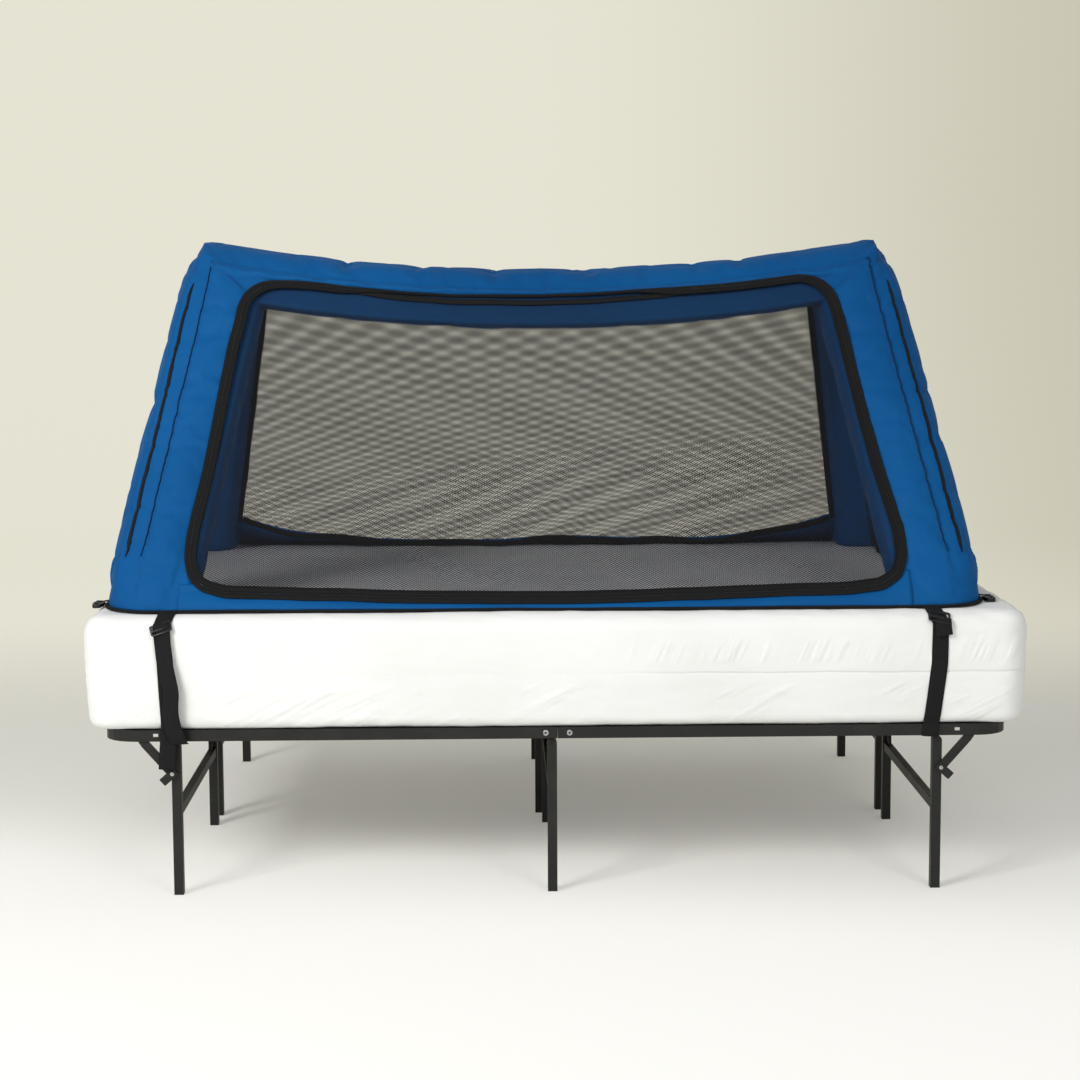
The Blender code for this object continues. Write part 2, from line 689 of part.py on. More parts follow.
def border(columns, rows):
    """The (u, v) places round a grid's edge, anticlockwise."""
    across = [-1 + 2 * i / columns for i in range(columns + 1)]
    up = [-1 + 2 * i / rows for i in range(rows + 1)]
    places = [(u, -1) for u in across] + [(1, v) for v in up[1:]]
    places += [(u, 1) for u in across[-2::-1]] + [(-1, v) for v in up[-2:0:-1]]
    return places


def door_zip():
    rings = []
    edge = border(DOOR_COLUMNS, DOOR_ROWS)
    for inset, depth in ((ZIP_WIDTH, GAP), (0, GAP), (0, GAP + ZIP_THICKNESS), (ZIP_WIDTH, GAP + ZIP_THICKNESS)):
        rings.append([door_point(u, v, inset, depth) for u, v in edge])
    return loft(rings, capped=False)


def grid_mesh(columns, rows, place):
    bm = bmesh.new()
    lines = []
    for j in range(rows + 1):
        v = -1 + 2 * j / rows
        lines.append([bm.verts.new(place(-1 + 2 * i / columns, v)) for i in range(columns + 1)])
    for low, high in zip(lines, lines[1:]):
        for i in range(columns):
            bm.faces.new((low[i], low[i + 1], high[i + 1], high[i]))
    return mesh_from(bm, "grid")


def net(name, columns, rows, place, paint, collection):
    """A mesh panel: a grid whose edges become bars with open gaps between them."""
    panel = add_object(name, grid_mesh(columns, rows, place), paint, collection)
    bars = panel.modifiers.new("bars", "WIREFRAME")
    bars.thickness = NET_BAR
    bars.offset = 0
    bars.use_boundary = True
    bars.use_even_offset = True
    bars.use_relative_offset = False
    return panel


def door_place(u, v):
    return door_point(u, v, ZIP_WIDTH + NET_EDGE, GAP + NET_BAR / 2)


def back_window_place(u, v):
    """Fills the back frame between its columns, its top beam and the floor sheet."""
    top_z = sleeve_line(1, "beam", 1, u)[1][1]
    low = TENT_BASE + NET_EDGE
    z = low + (top_z - NET_EDGE * SLOPE - low) * (v + 1) / 2
    x = u * (outer_x(z) - BACK_COLUMN_WIDTH - NET_EDGE)
    return TENT_X + x, face_y(1, z) - COLUMN_DEPTH * WINDOW_LEVEL_SHARE, z


def side_window_place(way):
    def place(u, v):
        low = TENT_BASE + NET_EDGE
        z = low + (SIDE_WINDOW_TOP - low) * (v + 1) / 2
        front = face_y(-1, z) + COLUMN_DEPTH + NET_EDGE * SLOPE
        back = face_y(1, z) - COLUMN_DEPTH - NET_EDGE * SLOPE
        x = way * (outer_x(z) - SIDE_WINDOW_IN)
        return TENT_X + x, front + (back - front) * (u + 1) / 2, z
    return place


def column_zip(unit, way):
    """A zip strip along the outer front corner of a column."""
    points = section(SLEEVE_RADII)
    near, far = points[0], points[1]
    rings = []
    for along in (ZIP_END_SHARE, 1 - ZIP_END_SHARE * 0.6):
        line = sleeve_line(unit, "column", way, along)
        first, second = sleeve_ring(unit, line, [near, far], 0)
        rings.append(strip_section(Vector(first), Vector(second), unit, way))
    return loft(rings)


def strip_section(first, second, unit, way):
    """Four corners of a thin strip that lies on the flat between two points of a section."""
    run = (second - first)
    middle = (first + second) / 2
    side = run.normalized() * min(COLUMN_ZIP_WIDTH, run.length * 0.9) / 2
    out = Vector((run.y, -run.x, 0)).normalized()
    if out.x * way < 0:
        out = -out
    near = middle + out * GAP * 2
    far = middle + out * (GAP * 2 + COLUMN_ZIP_THICKNESS)
    return [near - side, near + side, far + side, far - side]


def floor_outline(grown):
    low = (TENT_X - TENT_LENGTH / 2 - grown, TENT_FRONT_Y - grown)
    high = (TENT_X + TENT_LENGTH / 2 + grown, TENT_BACK_Y + grown)
    return rounded_rectangle(low, high, [HEM_CORNER + grown] * 4, 5)


def hem_binding():
    """The black edge of the floor sheet, with the webbing tabs of the two corner buckles."""
    ring = outline_plate([floor_outline(HEM_WIDTH), floor_outline(GAP)], HEM_HEIGHT, SHEET_BOTTOM)
    tabs = []
    for way in (-1, 1):
        inner = TENT_X + way * (TENT_LENGTH / 2 + HEM_WIDTH / 2)
        outer = buckle_x(way) + way * TAB_WIDTH / 2
        xs = sorted((inner, outer))
        front = BUCKLE_Y + GAP
        tabs.append(box((xs[0], front, SHEET_BOTTOM), (xs[1], front + TAB_LENGTH, SHEET_BOTTOM + TAB_THICKNESS)))
    return combine(ring, tabs)


def buckle_x(way):
    return TENT_X + way * (TENT_LENGTH / 2 + HEM_WIDTH + NET_GAP + BUCKLE_WIDTH / 2)


def corner_buckle(way):
    """A side release buckle lying flat, with the slot of its webbing bar."""
    x = buckle_x(way)
    front = BUCKLE_Y - BUCKLE_LENGTH
    shoulder = front + BUCKLE_LENGTH * 0.45
    half = BUCKLE_WIDTH / 2
    neck = half * 0.7
    outside = [(x - half, shoulder), (x - neck, front), (x + neck, front), (x + half, shoulder),
               (x + half, BUCKLE_Y), (x - half, BUCKLE_Y)]
    bar = BUCKLE_Y - BUCKLE_SLOT
    slot = [(x - neck, bar - BUCKLE_SLOT), (x + neck, bar - BUCKLE_SLOT), (x + neck, bar), (x - neck, bar)]
    window = [(x - neck * 0.5, front + BUCKLE_SLOT), (x + neck * 0.5, front + BUCKLE_SLOT),
              (x + neck * 0.5, shoulder), (x - neck * 0.5, shoulder)]
    return outline_plate([outside, slot, window], BUCKLE_THICKNESS, SHEET_BOTTOM)


# Straps

def strap_x(way):
    return TENT_X + STRAP_SHIFT + way * STRAP_OFFSET


def strap_path(unit):
    """The middle line of a strap as (y, z) on the front, from the hem down to its hook under the rail."""
    lift = GAP * 2 + STRAP_THICKNESS / 2
    hem = (TENT_FRONT_Y if unit < 0 else -TENT_BACK_Y) - HEM_WIDTH - GAP
    edge_y = -MATTRESS_WIDTH / 2 + MATTRESS_EDGE
    edge_z = MATTRESS_TOP - MATTRESS_EDGE
    radius = MATTRESS_EDGE + lift
    points = []
    if hem > edge_y:
        points.append((hem, MATTRESS_TOP + lift))
        start = 90
    else:
        start = 90 + math.degrees(math.asin((edge_y - hem) / radius))
    points += arc(edge_y, edge_z, radius, start, 180, 5)
    face = -MATTRESS_WIDTH / 2 - lift
    rail = -FRAME_WIDTH / 2 - lift
    points.append((face, MATTRESS_BOTTOM + LOWER_EDGE))
    points.append((rail, RAIL_TOP - RAIL_FLANGE))
    points.append((rail, RAIL_BOTTOM - lift))
    points.append((-FRAME_WIDTH / 2 + STRAP_HOOK, RAIL_BOTTOM - lift))
    return points


def ribbon(path, x, width, thickness, unit):
    """A band of even thickness along a path of (y, z) on the front, turned to the back for unit 1."""
    flat = [Vector(point) for point in path]
    rings = []
    for i, point in enumerate(flat):
        before = (point - flat[i - 1]).normalized() if i else (flat[1] - point).normalized()
        after = (flat[i + 1] - point).normalized() if i < len(flat) - 1 else before
        mean = (before + after).normalized()
        normal = Vector((mean.y, -mean.x))
        reach = thickness / 2 / max(normal.dot(Vector((after.y, -after.x))), 0.5)
        near = point - normal * reach
        far = point + normal * reach
        rings.append([(x - width / 2, -unit * near.x, near.y), (x + width / 2, -unit * near.x, near.y),
                      (x + width / 2, -unit * far.x, far.y), (x - width / 2, -unit * far.x, far.y)])
    return loft(rings)


def ladder_lock(way, unit):
    """The plastic adjuster in front of a strap, just under the mattress edge."""
    x = strap_x(way)
    near = MATTRESS_WIDTH / 2 + GAP * 4 + STRAP_THICKNESS
    ys = sorted((unit * near, unit * (near + LOCK_THICKNESS)))
    top = MATTRESS_TOP - MATTRESS_EDGE - LOCK_BELOW_EDGE
    half = LOCK_WIDTH / 2
    slot_half = STRAP_WIDTH / 2
    outside = [(x - half, top - LOCK_HEIGHT), (x + half, top - LOCK_HEIGHT), (x + half, top), (x - half, top)]
    slots = []
    for share in (0.28, 0.68):
        middle = top - LOCK_HEIGHT * share
        low, high = middle - LOCK_SLOT / 2, middle + LOCK_SLOT / 2
        slots.append([(x - slot_half, low), (x + slot_half, low), (x + slot_half, high), (x - slot_half, high)])
    return turned_plate([outside] + slots, *ys)


def zip_slider(place):
    """A slider on the top run of the door zip. place is its x about the middle of the enclosure."""
    u = place / DOOR_HALF_WIDTH
    x, y, z = door_point(u, 1, ZIP_WIDTH / 2, GAP * 2 + ZIP_THICKNESS)
    half = SLIDER_LENGTH / 2
    rise = SLIDER_HEIGHT / 2
    rings = []
    for side in (x - half, x + half):
        ring = []
        for up, out in ((-rise, 0), (-rise, SLIDER_THICKNESS), (rise, SLIDER_THICKNESS), (rise, 0)):
            ring.append((side, y + FACE_LEAN * up / SLOPE - out / SLOPE,
                         z + up / SLOPE + out * FACE_LEAN / SLOPE))
        rings.append(ring)
    return loft(rings)


def build():
    clear_scene()
    parts = make_collection(OBJECT)
    steel = material("frame_steel", (0.028, 0.027, 0.024), 0.45, 0.3)
    rivet = material("rivet_steel", (0.55, 0.55, 0.53), 0.35, 0.9)
    foam = material("mattress_foam", (0.86, 0.84, 0.78), 0.9)
    cover = material("mattress_cover", (0.93, 0.93, 0.90), 0.6)
    shell = material("sleeve_fabric", (0.011, 0.156, 0.402), 0.55)
    bladder = material("air_beam_film", (0.62, 0.64, 0.66), 0.35)
    sheet = material("floor_fabric", (0.75, 0.76, 0.76), 0.7)
    mesh = material("black_mesh", (0.012, 0.012, 0.013), 0.7)
    webbing = material("black_webbing", (0.013, 0.013, 0.013), 0.75)
    plastic = material("black_plastic", (0.015, 0.015, 0.015), 0.4)

    units = ((-1, "front"), (1, "back"))
    sides = ((-1, "left"), (1, "right"))

    def part(name, shape, paint, angle=35):
        made = add_object(name, shape, paint, parts)
        smooth(made, angle)
        return made

    for unit, unit_name in units:
        for side, side_name in sides:
            part(f"platform_{unit_name}_{side_name}", platform_half(side, unit), steel)
        part(f"fold_hinge_{unit_name}_outer", fold_plate(unit, 1), rivet)
        part(f"fold_hinge_{unit_name}_inner", fold_plate(unit, 0), rivet)
        part(f"leg_frame_{unit_name}_left", leg_frame(-END_LEG_X, unit, CROSSBAR_Z, CROSSBAR_HEIGHT, True), steel)
        part(f"leg_frame_{unit_name}_centre",
             leg_frame(-CENTRE_LEG_X[unit], unit, CENTRE_CROSSBAR_Z, CENTRE_CROSSBAR_HEIGHT, False), steel)
        part(f"leg_frame_{unit_name}_right", leg_frame(END_LEG_X, unit, CROSSBAR_Z, CROSSBAR_HEIGHT, True), steel)
        for side, side_name in sides:
            for leg_y, row in ((OUTER_LEG_Y, "outer"), (INNER_LEG_Y, "inner")):
                part(f"brace_{unit_name}_{side_name}_{row}", brace(side * END_LEG_X, leg_y, unit), steel)

    part("mattress_core", mattress_core(), foam)
    part("mattress_cover", mattress_cover(), cover, 50)

    part("floor_sheet", outline_plate([floor_outline(0)], FLOOR_SHEET, SHEET_BOTTOM), sheet)
    part("hem_binding", hem_binding(), webbing)
    for unit, unit_name in units:
        for way, side_name in sides:
            name = f"{unit_name}_{side_name}_column"
            part(f"{name}_sleeve", sleeve(unit, "column", way), shell, 50)
            part(f"{name}_air_beam", air_beam(unit, "column", way), bladder, 50)
            part(f"{name}_zip", column_zip(unit, way), webbing)
        part(f"{unit_name}_top_beam_sleeve", sleeve(unit, "beam"), shell, 50)
        part(f"{unit_name}_top_air_beam", air_beam(unit, "beam"), bladder, 50)
    part("roof_panel", roof_panel(), shell)

    part("door_zip", door_zip(), webbing)
    net("front_door_mesh", DOOR_COLUMNS, DOOR_ROWS, door_place, mesh, parts)
    net("back_window_mesh", WINDOW_COLUMNS, WINDOW_ROWS, back_window_place, mesh, parts)
    for way, side_name in sides:
        net(f"{side_name}_window_mesh", SIDE_COLUMNS, SIDE_ROWS, side_window_place(way), mesh, parts)
        part(f"corner_buckle_{side_name}", corner_buckle(way), plastic)
    part("zip_slider_left", zip_slider(SLIDER_OFFSET), plastic)
    part("zip_slider_right", zip_slider(SLIDER_OFFSET + SLIDER_SPACING), plastic)

    for unit, unit_name in units:
        for way, side_name in sides:
            path = strap_path(unit)
            part(f"strap_{unit_name}_{side_name}",
                 ribbon(path, strap_x(way), STRAP_WIDTH, STRAP_THICKNESS, unit), webbing)
            part(f"ladder_lock_{unit_name}_{side_name}", ladder_lock(way, unit), plastic)


build()
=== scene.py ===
import math

import bmesh
import bpy
import numpy as np
from mathutils import Matrix, Vector, noise
from mathutils.bvhtree import BVHTree


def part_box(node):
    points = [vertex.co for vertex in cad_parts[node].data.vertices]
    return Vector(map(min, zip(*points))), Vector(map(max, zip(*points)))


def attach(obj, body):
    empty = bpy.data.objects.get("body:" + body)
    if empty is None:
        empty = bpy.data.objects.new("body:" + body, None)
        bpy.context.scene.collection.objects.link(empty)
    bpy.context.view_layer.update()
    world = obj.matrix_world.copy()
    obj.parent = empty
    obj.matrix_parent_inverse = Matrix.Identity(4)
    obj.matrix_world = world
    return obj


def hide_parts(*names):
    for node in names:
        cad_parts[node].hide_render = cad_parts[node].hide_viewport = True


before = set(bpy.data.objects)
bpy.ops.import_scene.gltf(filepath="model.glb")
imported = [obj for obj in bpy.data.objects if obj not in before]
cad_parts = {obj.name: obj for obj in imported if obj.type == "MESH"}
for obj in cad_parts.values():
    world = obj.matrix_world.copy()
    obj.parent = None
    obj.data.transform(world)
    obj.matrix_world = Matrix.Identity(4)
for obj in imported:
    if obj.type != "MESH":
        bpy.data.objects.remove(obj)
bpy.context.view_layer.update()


# Shader maths: a Wire is a node's output that adds its own Math nodes when it is used in sums


class Wire:
    def __init__(self, finish, socket):
        self.finish = finish
        self.socket = socket

    def math(self, operation, *inputs):
        return self.finish.add("ShaderNodeMath", {"operation": operation}, dict(enumerate(inputs)))

    def sine(self):
        return self.math("SINE", self)

    def size(self):
        return self.math("ABSOLUTE", self)

    def over(self, level):
        return self.math("GREATER_THAN", self, level)

    def between(self, low, high):
        return self.finish.add("ShaderNodeMapRange", {"interpolation_type": "SMOOTHSTEP"},
                               {"Value": self, "From Min": low, "From Max": high})


for name, operation in (("add", "ADD"), ("sub", "SUBTRACT"), ("mul", "MULTIPLY")):
    setattr(Wire, f"__{name}__", lambda self, other, operation=operation: self.math(operation, self, other))
    setattr(Wire, f"__r{name}__", lambda self, other, operation=operation: self.math(operation, other, self))


class Finish:
    def __init__(self, name, colour, roughness, **plain):
        self.material = bpy.data.materials.new(name)
        self.material.use_nodes = True
        self.tree = self.material.node_tree
        self.shader = self.tree.nodes["Principled BSDF"]
        self.shader.inputs["Base Color"].default_value = (*colour, 1)
        self.shader.inputs["Roughness"].default_value = roughness
        for socket, value in plain.items():
            self.shader.inputs[socket.replace("_", " ")].default_value = value

    def add(self, kind, settings, inputs, output=0):
        node = self.tree.nodes.new(kind)
        for key, value in settings.items():
            setattr(node, key, value)
        for key, value in inputs.items():
            if isinstance(value, Wire):
                self.tree.links.new(value.socket, node.inputs[key])
            else:
                node.inputs[key].default_value = value
        return Wire(self, node.outputs[output])

    def place(self, output="Object"):
        return self.add("ShaderNodeTexCoord", {}, {}, output)

    def axes(self, vector, count=3):
        return [self.add("ShaderNodeSeparateXYZ", {}, {0: vector}, index) for index in range(count)]

    def cloud(self, vector, scale, detail=3.0, rough=0.5):
        return self.add("ShaderNodeTexNoise", {}, {"Vector": vector, "Scale": scale, "Detail": detail, "Roughness": rough})

    def blend(self, share, first, second):
        first = (*first, 1) if isinstance(first, tuple) else first
        second = (*second, 1) if isinstance(second, tuple) else second
        return self.add("ShaderNodeMix", {"data_type": "RGBA"}, {0: share, 6: first, 7: second}, 2)

    def feed(self, socket, wire):
        self.tree.links.new(wire.socket, self.shader.inputs[socket])

    def emboss(self, height, distance, strength):
        self.feed("Normal", self.add("ShaderNodeBump", {}, {"Height": height, "Distance": distance, "Strength": strength}))


# Plain tools for pieces and meshes
def link(mesh, name, finish=None, smooth=True):
    item = bpy.data.objects.new(name, mesh)
    bpy.context.scene.collection.objects.link(item)
    if finish:
        mesh.materials.append(finish.material)
    if smooth:
        mesh.shade_smooth()
    return item


def placed(item, slot, *replaced, body="bed"):
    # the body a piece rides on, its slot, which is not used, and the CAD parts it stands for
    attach(item, body)
    if replaced:
        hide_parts(*replaced)
    return item


def turnedOut(mesh, change=None):
    # a mesh after an optional change, with its faces turned outward
    bm = bmesh.new()
    bm.from_mesh(mesh)
    if change:
        bm.verts.ensure_lookup_table()
        change(bm)
    bmesh.ops.recalc_face_normals(bm, faces=bm.faces)
    bm.to_mesh(mesh)
    bm.free()
    return mesh


def gridFaces(rows, columns, lastRow, lastColumn):
    return [(i * columns + j, i * columns + (j + 1) % columns, (i + 1) % rows * columns + (j + 1) % columns,
             (i + 1) % rows * columns + j) for i in range(lastRow) for j in range(lastColumn)]


def gridMesh(name, points, uvs, loopAcross=False, loopAlong=False, capped=False):
    # points is rows x columns x 3, uvs(i, j) gives 2; faces point out when columns turn left round the rows' way
    points = np.asarray(points, float)
    rows, columns = points.shape[:2]
    lastRow = rows if loopAlong else rows - 1
    lastColumn = columns if loopAcross else columns - 1
    ends = [tuple(range(columns))[::-1], tuple((rows - 1) * columns + j for j in range(columns))] if capped else []
    mesh = bpy.data.meshes.new(name)
    mesh.from_pydata([tuple(p) for p in points.reshape(-1, 3)], [], gridFaces(rows, columns, lastRow, lastColumn) + ends)
    flat = np.zeros((len(mesh.loops), 2))
    corners = ((i + a, j + b) for i in range(lastRow) for j in range(lastColumn) for a, b in ((0, 0), (0, 1), (1, 1), (1, 0)))
    for place, (i, j) in enumerate(corners):
        flat[place] = uvs(i, j)
    mesh.uv_layers.new(name="UVMap").data.foreach_set("uv", flat.ravel())
    mesh.update()
    return mesh


def joined(name, meshes, finish):
    # one mesh from several, each with its UV map kept
    bm = bmesh.new()
    for mesh in meshes:
        bm.from_mesh(mesh)
        bpy.data.meshes.remove(mesh)
    made = bpy.data.meshes.new(name)
    bm.to_mesh(made)
    bm.free()
    return link(made, name, finish)


def wave(x, y, z, scale, seed=0.0):
    return noise.noise(Vector((x * scale + seed, y * scale - seed, z * scale + 0.5 * seed)))


def ease(value, low, high):
    t = min(max((value - low) / (high - low), 0), 1)
    return t * t * (3 - 2 * t)


def unitVector(vector):
    return vector / np.maximum(np.linalg.norm(vector, axis=-1, keepdims=True), 1e-9)


def runAlong(points, closed=False):
    # the way along a path at each of its points
    if closed:
        return unitVector(np.roll(points, -1, axis=0) - np.roll(points, 1, axis=0))
    return unitVector(np.gradient(points, axis=0))


def outwardOf(plan):
    # the outward way along a closed anticlockwise path on the plan
    run = runAlong(plan, closed=True)
    return np.stack([run[:, 1], -run[:, 0]], axis=1)


def stepLengths(points):
    return np.linalg.norm(np.diff(points, axis=0), axis=1)


def lengthsAlong(points):
    return np.concatenate([[0], np.cumsum(stepLengths(points))])


def roundedCorners(halfX, halfY, radius, steps, middle=(0.0, 0.0)):
    # points round a rectangle with rounded corners, from the front right corner on
    points = []
    for cornerX, cornerY, turn in ((1, -1, -90), (1, 1, 0), (-1, 1, 90), (-1, -1, 180)):
        for k in range(steps + 1):
            angle = math.radians(turn + 90 * k / steps)
            points.append((middle[0] + cornerX * (halfX - radius) + radius * math.cos(angle),
                           middle[1] + cornerY * (halfY - radius) + radius * math.sin(angle)))
    return points


def tape(name, centre, side, normal, width, thickness, closed=False, crown=0.0):
    # a flat band with rounded edges: centre, side and normal are lists of points and unit vectors along it
    centre = np.asarray(centre, float)
    side = unitVector(np.asarray(side, float))
    normal = unitVector(np.asarray(normal, float))
    width = np.broadcast_to(np.asarray(width, float), (len(centre),))
    profile = [(across, up * thickness / 2 + (crown * (1 - across ** 2) if up > 0 else 0)) for across, up in
               ((-1, -0.5), (-0.86, -1), (0, -1), (0.86, -1), (1, -0.5), (1, 0.5), (0.86, 1), (0.4, 1.15),
                (0, 1.2), (-0.4, 1.15), (-0.86, 1), (-1, 0.5))]
    rows = [[centre[k] + side[k] * a * width[k] / 2 + normal[k] * h for a, h in profile] for k in range(len(centre))]
    lengths = lengthsAlong(centre)
    along = list(lengths) + [lengths[-1] + np.linalg.norm(centre[0] - centre[-1])]
    edges = [p[0] for p in profile] + [profile[0][0]]
    points = np.asarray(rows)
    if np.dot(np.cross(centre[1] - centre[0], side[0]), normal[0]) > 0:
        points = points[:, ::-1]
        edges = edges[::-1]
    return gridMesh(name, points, lambda i, j: (edges[j] * width[min(i, len(width) - 1)] / 2, along[i]),
                    loopAcross=True, loopAlong=closed, capped=not closed)


def sewnTape(name, line, width, thickness, crown, *replaced, closed=False, finish=None, body="bed"):
    # a tape as a piece of its own, laid along a line of points, sides and normals
    mesh = tape(name, *line, width, thickness, closed=closed, crown=crown)
    placed(link(mesh, name, finish or bindingWeb), "black_webbing", *replaced, body=body)


print("tools ready")

# Camera, from a fit to the bed frame's feet and rail in the photograph

camera = {"place": (-0.125, -5.435, 1.309), "yaw": 1.08, "pitch": 6.69, "roll": -0.26, "focalPixels": 2301, "pixels": 1080}


def makeCamera():
    yaw, pitch, roll = (math.radians(camera[k]) for k in ("yaw", "pitch", "roll"))
    forward = Vector((math.sin(yaw) * math.cos(pitch), math.cos(yaw) * math.cos(pitch), -math.sin(pitch)))
    right = Vector((math.cos(yaw), -math.sin(yaw), 0))
    up = right.cross(forward)
    cos, sin = math.cos(roll), math.sin(roll)
    data = bpy.data.cameras.new("camera")
    data.sensor_width = 36
    data.lens = 36 * camera["focalPixels"] / camera["pixels"]
    item = bpy.data.objects.new("camera", data)
    bpy.context.scene.collection.objects.link(item)
    turn = Matrix((right * cos + up * sin, up * cos - right * sin, -forward)).transposed()
    item.matrix_world = Matrix.Translation(camera["place"]) @ turn.to_4x4()
    bpy.context.scene.camera = item


makeCamera()
bpy.context.scene.view_settings.view_transform = "Standard"


# Pale floor that curves up into the wall, with painted shade on the wall and a painted glow

studio = {"floorFront": -6.5, "wallY": 7.4, "curve": 1.8, "wallTop": 8.5, "halfWidth": 9.0,
          "wallColour": (0.80, 0.78, 0.665), "wallShade": (0.60, 0.575, 0.465), "floorColour": (0.95, 0.94, 0.90),
          # shares and strength of the backdrop's painted glow
          "floorGlow": 0.20, "frontGlow": 0.52, "wallGlow": 0.78, "glowStrength": 1.10,
          "keyPlace": (-3.25, -4.2, 3.25), "keyPower": 196, "keySize": 1.7,
          "fillPlace": (2.3, -5.4, 3.4), "fillPower": 84, "fillSize": 1.8,
          "topPlace": (0.2, -3.0, 5.4), "topPower": 5, "topSize": 3.4, "sky": 0.41}


def makeStudio():
    wall = Finish("studioWall", studio["wallColour"], 0.95, Specular_IOR_Level=0.1)
    x, y, z = wall.axes(wall.place())
    # painted shade: the wall's colour darkens towards the right, where less lamp light falls
    shaded = wall.blend(x.between(0.0, 3.6), studio["wallColour"], studio["wallShade"])
    tone = wall.blend((y * -1).between(-3.6, 1.6), shaded, studio["floorColour"])
    wall.feed("Base Color", tone)
    # painted light: the backdrop glows in its own colour for camera, glossy and transmission rays only. The glow is
    # strongest on the wall, rises on the floor towards the front and the left, and lifts the bed's shadow on the floor
    behind, front = y.between(0.6, 3.4), (y * -1 - x * 0.35).between(0.10, 1.0)
    share = (behind * (studio["wallGlow"] - studio["floorGlow"]) + front * (studio["frontGlow"] - studio["floorGlow"])
             + studio["floorGlow"])
    paths = [wall.add("ShaderNodeLightPath", {}, {}, "Is " + ray + " Ray") for ray in ("Camera", "Glossy", "Transmission")]
    seen = (paths[0] + paths[1] + paths[2]).between(0, 1) * share
    glow = wall.add("ShaderNodeEmission", {}, {"Color": tone, "Strength": studio["glowStrength"]})
    mixed = wall.tree.nodes.new("ShaderNodeMixShader")
    for place, source in enumerate((seen.socket, wall.shader.outputs[0], glow.socket)):
        wall.tree.links.new(source, mixed.inputs[place])
    wall.tree.links.new(mixed.outputs[0], wall.tree.nodes["Material Output"].inputs["Surface"])
    line = [(studio["floorFront"], 0), (-2, 0), (studio["wallY"] - studio["curve"], 0)]
    for step in range(1, 13):
        turn = math.pi / 2 * step / 12
        line.append((studio["wallY"] - studio["curve"] * (1 - math.sin(turn)), studio["curve"] * (1 - math.cos(turn))))
    line.append((studio["wallY"], studio["wallTop"]))
    half = studio["halfWidth"]
    points = [[(half * side, y, z - 0.0005) for side in (1, -1)] for y, z in line]
    link(gridMesh("backdrop", points, lambda i, j: (j, i)), "backdrop", wall)
    for name in ("key", "fill", "top"):
        lamp = bpy.data.lights.new(name + "Lamp", "AREA")
        lamp.shape = "SQUARE"
        lamp.size = studio[name + "Size"]
        lamp.energy = studio[name + "Power"]
        holder = bpy.data.objects.new(name + "Lamp", lamp)
        holder.location = studio[name + "Place"]
        aim = Vector((0, 0, 0.6)) - holder.location
        holder.rotation_euler = aim.to_track_quat("-Z", "Y").to_euler()
        bpy.context.scene.collection.objects.link(holder)
    world = bpy.data.worlds.new("softSky")
    world.use_nodes = True
    for socket, value in (("Color", (0.98, 0.99, 1.0, 1)), ("Strength", studio["sky"])):
        world.node_tree.nodes["Background"].inputs[socket].default_value = value
    bpy.context.scene.world = world


makeStudio()
print("camera and studio ready")


# Finishes, each made once for the pieces that share it. UV maps are in metres along and across the cloth

cloth = {"blue": (0.0045, 0.086, 0.262), "blueDeep": (0.0035, 0.072, 0.228), "threadPitch": 0.0011,
         "white": (0.83, 0.83, 0.81), "netBlack": (0.010, 0.010, 0.0105), "webBlack": (0.0065, 0.0065, 0.0068)}


def makeNylon():
    nylon = Finish("blueNylon", cloth["blue"], 0.5, Specular_IOR_Level=0.05)
    where = nylon.place()
    u, v = nylon.axes(nylon.place("UV"), 2)
    turns = 2 * math.pi / cloth["threadPitch"]
    weave = (u * turns).sine() * (v * turns).sine()
    ripstop = ((u * (math.pi / 0.006)).sine().size().over(0.985) + (v * (math.pi / 0.006)).sine().size().over(0.985)) * 0.5
    broad = nylon.cloud(where, 2.2, 2.0)
    fine = nylon.cloud(where, 46, 5.0, 0.6)
    crease = nylon.cloud(where, 17, 4.0, 0.55)
    shade = broad.between(0.35, 0.68)
    dusted = nylon.blend(shade, cloth["blueDeep"], cloth["blue"])
    nylon.feed("Base Color", nylon.blend(fine.between(0.5, 0.85) * 0.10 + ripstop * 0.05, dusted, (0.008, 0.118, 0.335)))
    nylon.feed("Roughness", 0.44 + fine * 0.14)
    nylon.emboss(crease * 0.9 + fine * 0.28 + weave * 0.035 + ripstop * 0.03, 0.0035, 0.55)
    return nylon


def makeCoverCloth():
    cover = Finish("whiteCoverCloth", cloth["white"], 0.72, Sheen_Weight=0.1)
    x, y, z = cover.axes(cover.place())
    pitch = 2 * math.pi / 0.0016
    knit = (x * pitch).sine() * (z * pitch).sine() + (x * pitch).sine() * (y * pitch).sine()
    broad = cover.cloud(cover.place(), 3.0, 3.0)
    fine = cover.cloud(cover.place(), 60, 4.0, 0.6)
    cover.feed("Base Color", cover.blend(broad.between(0.3, 0.75), (0.77, 0.77, 0.745), (0.82, 0.82, 0.80)))
    cover.feed("Roughness", 0.66 + fine * 0.12)
    cover.emboss(fine * 0.5 + knit * 0.05 + coverFolds(cover, x, y, z), 0.0016, 0.55)
    return cover


coverFold = {"seamZ": 0.470, "puckerPitch": 0.034, "dragPitch": 0.040, "seamDepth": 1.9, "puckerDepth": 2.8,
             "dragDepth": 2.9}


